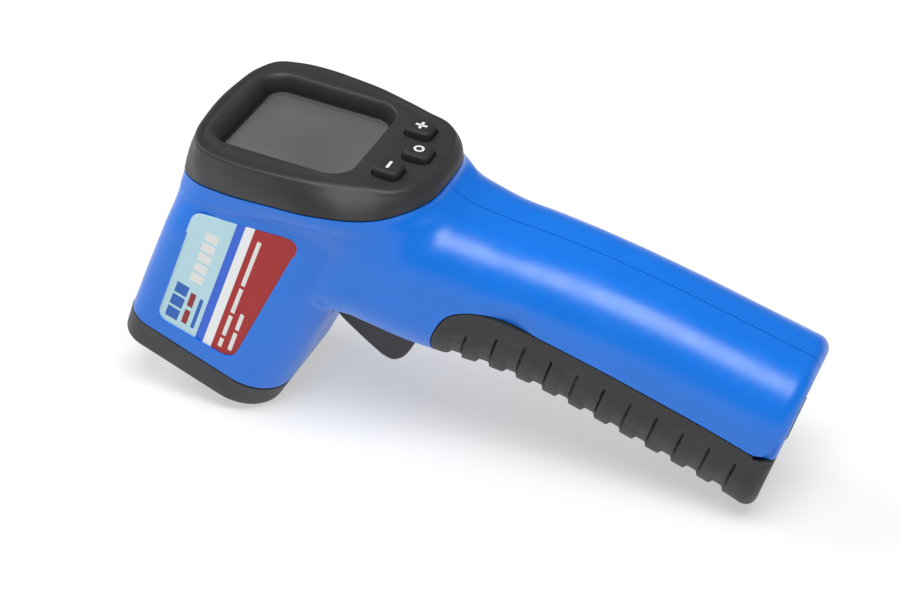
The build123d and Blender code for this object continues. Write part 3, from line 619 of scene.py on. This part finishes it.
def make_housing():
    """The two blue halves."""
    shell = body_solid("housing_shell", 0.0, SHELL_PITCH)
    cut(shell, body_solid("housing_hollow", WALL, HOLLOW_PITCH))
    plan_x = np.linspace(-FAR, FAR, 401)
    border = [BORDER.world(a, -border_drop(a)) for a in plan_x]
    cut(shell, side_prism("above_border", border + [(FAR, FAR), (-FAR, FAR)]))
    cut(shell, block_under("below_seam", BARREL, NOSE_SEAM))
    cut(shell, side_prism("door_space", door_outline(0.0)))
    cut(shell, side_prism("trigger_slot", SLOT_OUTLINE, TRIGGER_HALF + MOVING_GAP))
    corners = [TOE.world(a, h) for a, h in ((-6, -1), (6, -1), (6, BRACKET_TOP), (-6, BRACKET_TOP))]
    cut(shell, side_prism("bracket_slot", corners, BRACKET_HALF))
    for side in (-1, 1):
        cut(shell, label_slab("label_pocket", side, 0.0, POCKET_DEPTH, 3.0))
        cut(shell, side_prism("toe_panel", TOE_PANEL, 5.0, side * (TOE_PANEL_HALF + 5.0)))
    tongue = copy_of(shell, "seam_tongue")
    cut(tongue, body_solid("tongue_depth", WALL / 2, HOLLOW_PITCH), "INTERSECT")
    cut(tongue, layer("tongue_width", -TONGUE_REACH, HALF_GAP - TONGUE_GAP), "INTERSECT")
    halves = []
    for name, side in (("left_shell", -1), ("right_shell", 1)):
        ends = sorted((side * HALF_GAP, side * FAR))
        half = cut(copy_of(shell, name), layer("half", *ends), "INTERSECT")
        if side < 0:
            cut(half, tongue, "UNION")
        for x, z, reach in HOUSING_SCREWS:
            ends = sorted((side * HALF_GAP, side * reach))
            cut(half, rod("screw_post", x, z, POST_RADIUS, *ends), "UNION")
            if side > 0:
                cut(half, rod("screw_well", x, z, SCREW_HEAD, HEAD_SEAT, FAR))
        finish_shading(half, 32)
        halves.append(half)
    discard(shell)
    return halves


# ---- grip door ----
RIB_FIRST = -11.0
RIB_PITCH = 6.61
RIB_COUNT = 11
# the ribs' distance under the seam, and how much more it is at the front
RIBS_UNDER = 4.2
RIBS_LOWER = 2.6
VALLEY_HALF = 1.9
# depth of the valleys on the sides, how much more it is underneath, and the slits' depths
VALLEY_SIDE = 0.25
VALLEY_MORE = 0.7
SLIT_START = 0.85
SLIT_END = 0.2
SLIT_HALF = 0.36
# the hinge's half length, and the radii of its knuckles, the bracket's space and the pin's hole
HINGE_HALF = 11.5
KNUCKLE = 1.85
BRACKET_SPACE = 2.4
PIN_HOLE = 0.8
# the grid of the door's surface, finer along the grip
DOOR_LOW = (-26, -23, -28)
DOOR_HIGH = (74, 23, 12)
DOOR_PITCH = (0.24, 0.7, 0.7)


def ribbed_body(x, y, z):
    """The body with the valleys and slits between the grip's ribs."""
    station, height = GRIP.local(x, z)
    seam = np.stack(GRIP.local(*seam_line().T), axis=1)
    seam_high = np.interp(station, seam[:, 0], seam[:, 1])
    rib = (station - RIB_FIRST) / RIB_PITCH
    nearest = np.clip(np.floor(rib), 0, RIB_COUNT - 1) + 0.5
    from_valley = (rib - nearest) * RIB_PITCH
    below = seam_high - RIBS_UNDER - RIBS_LOWER * ease((4 - station) / 10) - height
    valley = ease((VALLEY_HALF - np.abs(from_valley)) / 0.9) * ease(below / 1.2)
    depth = VALLEY_SIDE + VALLEY_MORE * ease((-height - 7) / 9)
    rib_start = ease(1 - np.abs(from_valley - 1.6) / SLIT_HALF)
    rib_end = ease(1 - np.abs(from_valley + VALLEY_HALF) / SLIT_HALF)
    slit = (SLIT_START * rib_start + SLIT_END * rib_end) * ease(below / 0.4) * ease((13 - below) / 5)
    ribbed = closed_body(x, y, z) + valley * depth + slit
    return np.maximum(np.maximum(ribbed, height - 8), -22 - station)


def make_door():
    """The black grip door, a trough with ribs and its hinge knuckles."""
    door = add_mesh("door_shell", *field_mesh(ribbed_body, GRIP, DOOR_LOW, DOOR_HIGH, DOOR_PITCH))
    cut(door, side_prism("door_region", door_outline(SEAM_GAP)), "INTERSECT")
    cut(door, body_solid("door_hollow", WALL, HOLLOW_PITCH))
    x, z = HINGE_AT
    cut(door, side_prism("above_hinge", [(x, z), (FAR, z), (FAR, FAR), (x, FAR)]))
    blank = body_solid("knuckle_blank", 0.05, BLANK_PITCH)
    inner = BRACKET_HALF + MOVING_GAP
    for y in (-1, 1):
        ends = sorted((y * inner, y * FAR))
        knuckle = cut(rod("knuckle", x, z, KNUCKLE, *ends), blank, "INTERSECT", keep_tool=True)
        cut(door, knuckle, "UNION")
    discard(blank)
    cut(door, rod("bracket_space", x, z, BRACKET_SPACE, -inner, inner))
    cut(door, rod("pin_hole", x, z, PIN_HOLE, -HINGE_HALF, HINGE_HALF))
    finish_shading(door, 32)
    return door


# ---- nose ----
def rounded_plan(x_low, x_high, half, radius, count=192, back_radius=None):
    """A rounded rectangle met by rays from its middle, one point a ray."""
    centre = (x_low + x_high) / 2
    turn = np.arange(count) * 2 * math.pi / count
    if back_radius is not None:
        radius = np.where(np.cos(turn) > 0, back_radius, radius)
    low, high = np.zeros(count), np.full(count, 80.0)
    for _ in range(30):
        reach = (low + high) / 2
        a = np.abs(reach * np.cos(turn)) - (x_high - x_low) / 2
        b = np.abs(reach * np.sin(turn)) - half
        inside = round_max(a, b, radius) < 0
        low, high = np.where(inside, reach, low), np.where(inside, high, reach)
    return centre + low * np.cos(turn), low * np.sin(turn)


def barrel_ring(along, inset):
    x_low = np.interp(along, BARREL_ALONG, BARREL_FRONT) + inset
    x_high = np.interp(along, BARREL_ALONG, BARREL_BACK) - inset
    front_radius = np.interp(along, BARREL_ALONG, FRONT_RADIUS)
    plan_x, y = rounded_plan(x_low, x_high, barrel_half_width(along) - inset,
                             max(front_radius - inset, 1.0), back_radius=BACK_RADIUS - inset)
    return BARREL.points(plan_x, y, along)


def make_nose():
    """The black rim round the nose: a round lip outside, a spigot up into the housing."""
    low, lip = BARREL_ALONG[0], 0.9
    profile = [(NOSE_SEAM + 2.6, 2.3), (NOSE_SEAM - 0.1, 2.3), (NOSE_SEAM - 0.1, 0.8),
               (NOSE_SEAM - 0.7, 0.0), (low + 3.0, 0.0)]
    profile += [(low + lip * (1 - sin), lip * (1 - cos)) for sin, cos in quarter_turn(6)]
    profile += [(low, 1.6), (low + 1.7, 2.0), (-0.9, 2.4), (-0.9, 3.7), (NOSE_SEAM + 2.6, 3.7)]
    return loft("nose_rim", [barrel_ring(along, inset) for along, inset in profile], 40)


# ---- display housing ----
DIRECTIONS = np.arange(288) * 2 * math.pi / 288
GLASS_DEPTH = 3.8
# the window's well at its top and at the glass: front, back, half width and corner radius
WELL_TOP = (-23.2, 12.7, 17.2, 6.6)
WELL_LOW = (-20.4, 11.7, 15.7, 4.8)
KEY_SIZE = 6.2
KEY_PROUD = 1.7
KEY_RADIUS = 1.6
KEYS = {"key_plus": (19.6, 9.2), "key_function": (22.9, 0.0), "key_minus": (19.6, -9.2)}


def on_panel(plan_x, y, depth):
    return PANEL.points(plan_x, y, -depth)


def inner_outline(curve, inset):
    """An outline in plan, moved toward its centre."""
    plan_x, y = outline_at(curve, DIRECTIONS)
    centre = curve[0]
    share = 1 - inset / np.hypot(plan_x - centre, y)
    return centre + (plan_x - centre) * share, y * share


def rim_ring(inset, depth):
    return on_panel(*inner_outline(RIM_CURVE, inset), depth)


def border_ring(inset, up):
    plan_x, y = inner_outline(BORDER_CURVE, inset)
    return BORDER.points(plan_x, y, up - border_drop(plan_x))


def well_ring(top_share, depth, grow=0.0):
    """A ring of the window's well: 1 is its upper outline and 0 its lower one."""
    x_low, x_high, half, radius = (
        top * top_share + low * (1 - top_share) for top, low in zip(WELL_TOP, WELL_LOW))
    plan_x, y = rounded_plan(x_low - grow, x_high + grow, half + grow, radius + grow, len(DIRECTIONS))
    return on_panel(plan_x, y, depth)


# the panel sinks a little inside its rim: fraction of the way to the well, and depth
RIM_DIPS = [(0.1, 0.02), (0.28, 0.26), (0.42, 0.3), (0.7, 0.16)]


def make_display_housing():
    edge = 1.0
    rings = [border_ring(2.2, 0.15), border_ring(0.3, 0.15), border_ring(0.0, 0.5)]
    foot, head = rings[-1], rim_ring(0.0, 0.0)
    wall = head - foot
    length = np.linalg.norm(wall, axis=1)[:, None]
    out = np.stack([np.cos(DIRECTIONS), np.sin(DIRECTIONS), 0 * DIRECTIONS], axis=1)
    wall_end = head - wall / length * edge
    for i in range(1, 9):
        t = i / 8
        rings.append(foot + (wall_end - foot) * t + out * 0.35 * math.sin(math.pi * t))
    inner = rim_ring(edge, 0.0)
    for i in range(1, 6):
        t = i / 6
        rings.append(wall_end * (1 - t) ** 2 + head * 2 * t * (1 - t) + inner * t**2)
    rings.append(inner)
    well = well_ring(1.0, 0.0)
    down = np.array([-PANEL.sin, 0, -PANEL.cos])
    rings += [inner + (well - inner) * t + down * dip for t, dip in RIM_DIPS]
    rings += [well_ring(1 - sin, GLASS_DEPTH * (1 - cos)) for sin, cos in quarter_turn(9)]
    rings += [well_ring(0.0, GLASS_DEPTH + 0.5), well_ring(0.0, GLASS_DEPTH + 0.5, 1.6),
              well_ring(0.0, 2.4, 2.6), rim_ring(2.4, 2.4)]
    housing = loft("display_housing", rings, 38)
    for x, y in KEYS.values():
        cut(housing, key_block("key_hole", x, y, [(MOVING_GAP, 9.0), (MOVING_GAP, -3.0)]))
    finish_shading(housing, 38)
    return housing


def key_block(name, x, y, profile):
    """Rings of a key's rounded outline; profile gives (growth, depth) upward."""
    rings = []
    for grow, depth in profile:
        half = KEY_SIZE / 2 + grow
        plan_x, plan_y = rounded_plan(x - half, x + half, half, max(KEY_RADIUS + grow, 0.3), 64)
        rings.append(on_panel(plan_x, plan_y + y, depth))
    return loft(name, rings, 50, closed=False)


def make_key(name):
    x, y = KEYS[name]
    edge = 0.8
    profile = [(0.8, 3.4), (0.8, 2.4), (0.0, 2.4)]
    profile += [(-edge * (1 - cos), edge * (1 - sin) - KEY_PROUD) for sin, cos in quarter_turn(5)]
    profile += [(-1.6, 0.06 - KEY_PROUD), (-2.6, 0.08 - KEY_PROUD)]
    return key_block(name + "_cap", x, y, profile)


# how deep the keys' signs start, and how far they stand out
SIGN_DEEP = 0.12
SIGN_PROUD = 0.03


def sign_ring(outline, out):
    """An outline of the panel's plan laid on the top of a key, moved out from it."""
    return on_panel(*np.transpose(outline), -KEY_PROUD - out)


def make_sign(name, outline, hole=None):
    """A thin printed shape on a key, full or with a hole."""
    rings = [sign_ring(outline, -SIGN_DEEP), sign_ring(outline, SIGN_PROUD)]
    if hole:
        rings += [sign_ring(hole, SIGN_PROUD), sign_ring(hole, -SIGN_DEEP)]
    return loft(name, rings, closed=hole is not None)


def bar(centre, length, width, turn):
    """A rectangle in plan, turned about its centre."""
    cos, sin = math.cos(turn), math.sin(turn)
    corners = [(a * length / 2, b * width / 2) for a, b in SQUARE]
    return [(centre[0] + a * cos - b * sin, centre[1] + a * sin + b * cos) for a, b in corners]


# ---- display window ----
def window_rings(profile):
    """Rings in the window; profile gives (growth, depth under the well's foot)."""
    return [well_ring(0.0, GLASS_DEPTH + deep, grow) for grow, deep in profile]


def make_gasket():
    """The black ring round the window's glass."""
    return loft("window_gasket", window_rings([(0.1, 0.3), (-0.7, 0.3), (-0.7, 1.0), (0.1, 1.0)]), 30)


def make_window():
    """The glass, with a small bevel round its face."""
    rings = window_rings([(-0.8, 1.2), (-0.8, 0.25), (-0.95, 0.1), (-2.0, 0.06)])
    return loft("window_glass_plate", rings, 30, closed=False)


def make_crystal():
    """The liquid-crystal plate under the glass."""
    return loft("crystal_plate", window_rings([(-1.0, 2.6), (-1.0, 1.3)]), 30, closed=False)


# ---- trigger ----
TRIGGER_OUTLINE = [(13.0, 22.6), (15.0, 19.6), (18.6, 16.6), (22.6, 13.4), (25.8, 11.1),
                   (28.4, 10.3), (31.0, 11.8), (33.6, 15.8), (34.0, 24.0), (32.4, 31.0),
                   (31.0, 33.0), (28.6, 33.2), (25.6, 34.0), (19.0, 34.4), (16.0, 31.6)]
TRIGGER_WALL = 1.6
TRIGGER_PIVOT = (19.2, 31.4)
PIVOT_HOLE = 1.05
# the round seat of the trigger's spring: its place along x, radius and levels
SPRING_AT = 23.0
SPRING_SEAT = 2.4
SPRING_SEAT_LEVELS = (33.2, 38.0)
TRIGGER_HOLLOW = [(22.4, 24.0), (27.0, 20.0), (31.0, 20.0), (31.4, 25.0), (29.8, 29.8), (25.0, 31.0)]


def make_trigger():
    """The trigger's lever, with round edges."""
    outline = rounded_corners(TRIGGER_OUTLINE, [3.0] * len(TRIGGER_OUTLINE), 4)
    edge = 1.2
    rings = []
    turns = quarter_turn(5)
    for side, side_turns in ((-1, turns), (1, turns[::-1])):
        for sin, cos in side_turns:
            y = side * (TRIGGER_HALF - edge * (1 - cos))
            rings.append([(p.x, y, p.y) for p in moved_in(outline, -edge * (1 - sin))])
    trigger = loft("trigger_lever", rings, 40, closed=False)
    cut(trigger, side_prism("trigger_hollow", TRIGGER_HOLLOW, TRIGGER_HALF - TRIGGER_WALL))
    cut(trigger, rod("pivot_hole", *TRIGGER_PIVOT, PIVOT_HOLE, -FAR, FAR))
    plan = circle((SPRING_AT, 0.0), SPRING_SEAT, 32)
    seat = [[(x, y, z) for x, y in plan] for z in SPRING_SEAT_LEVELS]
    cut(trigger, loft("spring_seat", seat, closed=False))
    finish_shading(trigger, 40)
    return trigger


# ---- materials ----
def linear(red, green, blue):
    """An 8-bit display colour as linear values."""
    shares = (red / 255, green / 255, blue / 255)
    return tuple(v / 12.92 if v <= 0.04 else ((v + 0.055) / 1.055) ** 2.4 for v in shares)


class Shader:
    """One Principled material, with helpers for the nodes in front of it."""

    def __init__(self, name):
        self.material = bpy.data.materials.new(name)
        self.material.use_nodes = True
        self.nodes, self.links = self.material.node_tree.nodes, self.material.node_tree.links
        self.main = self.nodes["Principled BSDF"]
        self.position = self.nodes.new("ShaderNodeTexCoord").outputs["Object"]

    def set(self, **values):
        for name, value in values.items():
            self.main.inputs[name.replace("_", " ")].default_value = value

    def noise(self, size, detail=2.0):
        """Noise whose features are about size metres across."""
        node = self.nodes.new("ShaderNodeTexNoise")
        node.inputs["Scale"].default_value = 1 / size
        node.inputs["Detail"].default_value = detail
        self.links.new(self.position, node.inputs["Vector"])
        return node.outputs["Fac"]

    def ramp(self, source, stops, constant=False):
        node = self.nodes.new("ShaderNodeValToRGB")
        ramp = node.color_ramp
        ramp.interpolation = "CONSTANT" if constant else "LINEAR"
        while len(ramp.elements) < len(stops):
            ramp.elements.new(1.0)
        for element, (at, colour) in zip(ramp.elements, stops):
            element.position = at
            element.color = (*colour, 1.0)
        self.links.new(source, node.inputs["Fac"])
        return node.outputs["Color"]

    def to(self, source, target):
        self.links.new(source, self.main.inputs[target])

    def vary_colour(self, size, detail, dark, light):
        """Mottles the base colour between two colours."""
        self.to(self.ramp(self.noise(size, detail), [(0.3, dark), (0.7, light)]), "Base Color")

    def vary_roughness(self, size, low, high):
        greys = [(0.3, (low,) * 3), (0.7, (high,) * 3)]
        self.to(self.ramp(self.noise(size, 3.0), greys), "Roughness")

    def bump(self, height, strength, distance):
        node = self.nodes.new("ShaderNodeBump")
        node.inputs["Strength"].default_value = strength
        node.inputs["Distance"].default_value = distance
        self.links.new(height, node.inputs["Height"])
        self.links.new(node.outputs["Normal"], self.main.inputs["Normal"])


def spread(colour, amount):
    """A colour a little darker and a little lighter."""
    return [tuple(min(v * k, 1.0) for v in colour) for k in (1 - amount, 1 + amount)]


def moulded(name, colour, roughness, grain=0.00035, depth=0.00001, strength=0.35, tint=0.05,
            gloss=0.5):
    """Moulded plastic or rubber with a fine spark-eroded grain and faint mottling."""
    shader = Shader(name)
    shader.vary_colour(0.02, 4.0, *spread(linear(*colour), tint))
    shader.vary_roughness(0.006, roughness - 0.04, roughness + 0.05)
    shader.bump(shader.noise(grain, 2.0), strength, depth)
    shader.set(Specular_IOR_Level=gloss)
    return shader.material


def metal(name, colour, roughness, grain=0.0004):
    """Plated metal, faintly uneven in gloss."""
    shader = Shader(name)
    shader.vary_colour(0.003, 3.0, *spread(colour, 0.08))
    shader.vary_roughness(grain, roughness * 0.8, roughness * 1.3)
    shader.bump(shader.noise(grain, 3.0), 0.2, 0.00001)
    shader.set(Metallic=1.0)
    return shader.material


blue_abs = moulded("blue_abs", (4, 116, 226), 0.32, tint=0.03)
black_abs = moulded("black_abs", (45, 45, 47), 0.50, grain=0.0003, strength=0.5, depth=0.000015)
black_grip = moulded("black_grip", (41, 41, 43), 0.56, grain=0.0003, strength=0.6, depth=0.000015)
key_rubber = moulded("key_rubber", (36, 36, 32), 0.62, grain=0.00045, strength=0.8, depth=0.00003)
white_ink = moulded("white_ink", (235, 235, 232), 0.6, tint=0.02)
blue_ink = moulded("blue_ink", (50, 104, 190), 0.5, tint=0.02, gloss=0.3)
red_ink = moulded("red_ink", (150, 52, 56), 0.5, tint=0.02, gloss=0.3)
white_plastic = moulded("white_plastic", (225, 224, 218), 0.45)
grey_rubber = moulded("grey_rubber", (120, 120, 122), 0.7)
board_green = moulded("board_green", (22, 84, 48), 0.35, grain=0.0008, tint=0.2)
switch_black = moulded("switch_black", (30, 30, 32), 0.4)
diffuser = moulded("diffuser", (236, 238, 235), 0.3, tint=0.02)
red_wire = moulded("red_insulation", (180, 26, 24), 0.4)
black_wire = moulded("black_insulation", (26, 26, 27), 0.4)
cell_jacket = moulded("cell_jacket", (62, 66, 74), 0.25, tint=0.1)
plated_steel = metal("plated_steel", (0.72, 0.72, 0.70), 0.28)
spring_steel = metal("spring_steel", (0.62, 0.63, 0.64), 0.22)
nickel_can = metal("nickel_can", (0.70, 0.67, 0.60), 0.25)
brass_case = metal("brass_case", (0.78, 0.58, 0.28), 0.3)


def make_lens_material():
    """A polished infrared lens: dark, with a coppery coating."""
    shader = Shader("infrared_lens")
    shader.vary_colour(0.01, 2.0, linear(70, 44, 40), linear(96, 60, 52))
    shader.set(Metallic=0.6, Roughness=0.12, Coat_Weight=0.6)
    return shader.material


def make_glass_material():
    """The display's grey window, with the liquid crystal showing through."""
    shader = Shader("window_glass")
    shader.vary_colour(0.03, 1.0, linear(96, 97, 98), linear(122, 122, 122))
    shader.bump(shader.noise(0.012, 1.0), 0.05, 0.0002)
    shader.set(Roughness=0.16, Coat_Weight=0.5, Coat_Roughness=0.05, Alpha=0.55)
    return shader.material


def make_crystal_material():
    """The grey field of a liquid-crystal display that is switched off."""
    shader = Shader("liquid_crystal")
    shader.vary_colour(0.02, 2.0, linear(148, 149, 147), linear(178, 179, 177))
    shader.bump(shader.noise(0.004, 1.0), 0.05, 0.00002)
    shader.set(Roughness=0.3)
    return shader.material


# how far the label's bands rise, and run back, along their edges
BAND_RISE = 34.3
BAND_RUN = 12.9
LABEL_LEAN = math.atan2(BAND_RISE, BAND_RUN)
LABEL_BANDS = [(0.0, (190, 226, 236)), (0.366, (52, 104, 220)), (0.412, (244, 246, 246)),
               (0.464, (172, 34, 36))]
# distances square to their edges between which the bands' shares are counted
LABEL_SPAN = (-36.0, 8.0)


def make_label_material():
    """Printed bands across the label, chosen by the distance square to their edges."""
    shader = Shader("printed_label")
    along = shader.nodes.new("ShaderNodeVectorMath")
    along.operation = "DOT_PRODUCT"
    along.inputs[1].default_value = (math.sin(LABEL_LEAN), 0, -math.cos(LABEL_LEAN))
    shader.links.new(shader.position, along.inputs[0])
    scale = shader.nodes.new("ShaderNodeMapRange")
    offset = DATUM.x * math.sin(LABEL_LEAN) - DATUM.z * math.cos(LABEL_LEAN)
    scale.inputs["From Min"].default_value = offset + LABEL_SPAN[0] * MM
    scale.inputs["From Max"].default_value = offset + LABEL_SPAN[1] * MM
    shader.links.new(along.outputs["Value"], scale.inputs["Value"])
    bands = [(at, linear(*colour)) for at, colour in LABEL_BANDS]
    shader.to(shader.ramp(scale.outputs["Result"], bands, constant=True), "Base Color")
    shader.bump(shader.noise(0.0005, 2.0), 0.15, 0.00001)
    shader.set(Roughness=0.4, Specular_IOR_Level=0.35)
    return shader.material


lens_coating = make_lens_material()
window_glass = make_glass_material()
liquid_crystal = make_crystal_material()
printed_label = make_label_material()


# ---- putting the pieces in the frame ----
def paint(obj, material):
    obj.data.materials.clear()
    obj.data.materials.append(material)


def place(obj, body, material, slot, *nodes):
    paint(obj, material)
    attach(obj, body)
    if nodes:
        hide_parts(*nodes)


left_shell, right_shell = make_housing()
place(left_shell, "housing", blue_abs, "blue_housing", "left_housing")
place(right_shell, "housing", blue_abs, "blue_housing", "right_housing")
place(make_door(), "battery_door", black_grip, "black_grip", "battery_door")
place(make_nose(), "housing", black_abs, "black_plastic", "nose_bezel")
place(make_display_housing(), "housing", black_abs, "black_plastic", "display_bezel")
place(make_trigger(), "trigger", black_abs, "black_plastic", "trigger")
for key_name in KEYS:
    place(make_key(key_name), key_name, key_rubber, "key_rubber", key_name)

for label_name, label_side in (("left_label", -1), ("right_label", 1)):
    sheet = label_slab(label_name + "_sheet", label_side, -LABEL_TUCK, POCKET_DEPTH - 0.02,
                       -LABEL_RECESS)
    place(sheet, "housing", printed_label, "printed_label", label_name)


def even_blocks(count, gap):
    """Shares of a line taken by equal blocks with gaps between them."""
    step = (1 + gap) / count
    return [(i * step, (i + 1) * step - gap) for i in range(count)]


# plain printed rows on the labels: ends in the side view, width, ink and blocks
LABEL_ROWS = [
    ("white_row", (-13.9, 31.8), (-8.5, 46.2), 3.3, white_ink, even_blocks(5, 0.05)),
    ("blue_row", (-21.3, 20.0), (-17.1, 30.4), 3.2, blue_ink, even_blocks(3, 0.07)),
    ("red_row", (-18.0, 19.2), (-14.6, 28.4), 1.4, red_ink, even_blocks(2, 0.12)),
    ("thin_row", (-15.9, 18.4), (-12.6, 27.2), 0.9, blue_ink, [(0, 1)]),
    ("long_row", (-8.9, 15.0), (3.3, 47.2), 1.0, white_ink,
     [(0, 0.08), (0.11, 0.30), (0.33, 0.56), (0.59, 1)]),
    ("short_row", (-6.3, 14.6), (-2.2, 25.8), 1.0, white_ink, [(0, 0.48), (0.56, 1)]),
]
ROW_DEEP = 0.1
ROW_PROUD = 0.03
# faces of a block given as four corners below and the same four above
BLOCK_FACES = [(3, 2, 1, 0), (4, 5, 6, 7), (0, 1, 5, 4), (1, 2, 6, 5), (2, 3, 7, 6), (3, 0, 4, 7)]


def make_label_row(name, side, start, end, width, blocks):
    """One row of blocks as a single piece."""
    start, end = Vector(start), Vector(end)
    along = (end - start).normalized()
    half = Vector((-along.y, along.x)) * width / 2
    points, faces = [], []
    for first, last in blocks:
        ends = start.lerp(end, first), start.lerp(end, last)
        corners = [ends[0] - half, ends[1] - half, ends[1] + half, ends[0] + half]
        base = len(points)
        for out in (-LABEL_RECESS - ROW_DEEP, ROW_PROUD - LABEL_RECESS):
            points += side_ring(corners, side, out)
        faces += [tuple(base + i for i in face) for face in BLOCK_FACES]
    row = add_mesh(name, points, faces)
    outward(row)
    return row


for side_name, label_side in (("left", -1), ("right", 1)):
    for row_name, row_start, row_end, row_width, ink, row_blocks in LABEL_ROWS:
        name = f"{side_name}_{row_name}"
        label_row = make_label_row(name, label_side, row_start, row_end, row_width, row_blocks)
        place(label_row, "housing", ink, "printed_label")

place(make_gasket(), "housing", switch_black, "black_plastic")
place(make_window(), "housing", window_glass, "clear_window", "display_window")
place(make_crystal(), "housing", liquid_crystal, "liquid_crystal", "lcd_panel")

# plain signs on the keys: a plus, a minus and a round mark
SIGN_LENGTH = 2.8
SIGN_WIDTH = 0.65
ROUND_MARK = (1.25, 0.75)
ACROSS = math.pi / 2
BARS = [("plus_sign_a", "key_plus", 0), ("plus_sign_b", "key_plus", ACROSS),
        ("minus_sign", "key_minus", ACROSS)]
for sign_name, key_name, turn in BARS:
    sign = make_sign(sign_name, bar(KEYS[key_name], SIGN_LENGTH, SIGN_WIDTH, turn))
    place(sign, key_name, white_ink, "key_rubber")
rim, hole = (circle(KEYS["key_function"], radius, 24) for radius in ROUND_MARK)
place(make_sign("round_mark", rim, hole), "key_function", white_ink, "key_rubber")

NODE_MATERIALS = {
    blue_abs: ["left_housing", "right_housing"],
    black_abs: ["nose_bezel", "front_plate", "lens_tube", "sensor_holder", "display_bezel", "trigger",
                "lanyard_bracket", "buzzer", "processor"],
    black_grip: ["battery_door"],
    key_rubber: ["key_plus", "key_function", "key_minus"],
    switch_black: ["trigger_switch", "key_switches", "battery_tray"],
    white_plastic: ["lcd_frame"],
    diffuser: ["backlight_panel"],
    grey_rubber: ["connector_strips"],
    board_green: ["sensor_board", "main_board", "switch_board"],
    plated_steel: ["housing_screws", "board_screws", "trigger_pin", "hinge_pin", "contact_plates"],
    spring_steel: ["trigger_spring", "cell_springs"],
    nickel_can: ["thermopile_sensor"],
    brass_case: ["laser_module"],
    cell_jacket: ["left_cell", "right_cell"],
    red_wire: ["red_wire"],
    black_wire: ["black_wire"],
    lens_coating: ["infrared_lens"],
    window_glass: ["display_window"],
    liquid_crystal: ["lcd_panel"],
    printed_label: ["left_label", "right_label"],
}
for material, names in NODE_MATERIALS.items():
    for node_name in names:
        node = frame["nodes"][node_name]
        if not node.material_slots:
            node.data.materials.append(material)
        for node_slot in node.material_slots:
            node_slot.material = material


# ---- stage ----
# the camera's place is in millimetres from the datum
CAMERA_LENS = 100.11
CAMERA_AT = (221.881, -440.544, 355.778)
CAMERA_AZIMUTH = math.radians(22.4)
CAMERA_ELEVATION = math.radians(34.6)


def aim(obj, location, direction):
    """Stands a camera or a light at a place and turns it to face a direction."""
    obj.location = location
    obj.rotation_mode = "QUATERNION"
    obj.rotation_quaternion = direction.to_track_quat("-Z", "Y")
    bpy.context.scene.collection.objects.link(obj)


def make_camera():
    camera = bpy.data.cameras.new("camera")
    camera.lens = CAMERA_LENS
    camera.sensor_width = 36.0
    camera.clip_start, camera.clip_end = 0.01, 20.0
    level = math.cos(CAMERA_ELEVATION)
    back = Vector((math.sin(CAMERA_AZIMUTH) * level, -math.cos(CAMERA_AZIMUTH) * level,
                   math.sin(CAMERA_ELEVATION)))
    obj = bpy.data.objects.new("camera", camera)
    aim(obj, DATUM + Vector(CAMERA_AT) * MM, -back)
    bpy.context.scene.camera = obj


def add_light(name, location, target, size, watts):
    light = bpy.data.lights.new(name, "AREA")
    light.shape = "RECTANGLE"
    light.size, light.size_y = size
    light.energy = watts
    aim(bpy.data.objects.new(name, light), location, Vector(target) - Vector(location))


# the floor is a translucent table lit from below, which keeps the shadows pale
FLOOR_HALF = 3.0
FLOOR_GLOW = 0.5
WORLD_GLOW = 0.18


def make_floor():
    mesh = bpy.data.meshes.new("floor")
    corners = [(x * FLOOR_HALF, y * FLOOR_HALF, 0) for x, y in SQUARE]
    mesh.from_pydata(corners, [], [(0, 1, 2, 3)])
    floor = bpy.data.objects.new("floor", mesh)
    bpy.context.scene.collection.objects.link(floor)
    shader = Shader("pale_floor")
    shader.vary_colour(0.3, 2.0, (0.50,) * 3, (0.52,) * 3)
    shader.set(Roughness=0.9, Specular_IOR_Level=0.1, Emission_Color=(1.0, 1.0, 1.0, 1.0),
               Emission_Strength=FLOOR_GLOW)
    paint(floor, shader.material)


def make_world():
    world = bpy.data.worlds.new("studio")
    world.use_nodes = True
    background = world.node_tree.nodes["Background"]
    background.inputs["Color"].default_value = (1.0, 1.0, 1.0, 1.0)
    background.inputs["Strength"].default_value = WORLD_GLOW
    bpy.context.scene.world = world


make_camera()
make_world()
make_floor()
add_light("overhead", (0.2, -0.3, 1.0), (0, 0, 0.02), (0.7, 0.5), 9.4)
add_light("left_side", (-1.0, 0.1, 0.85), (0, 0, 0.03), (1.0, 1.1), 8.0)
bpy.context.scene.view_settings.view_transform = "Standard"
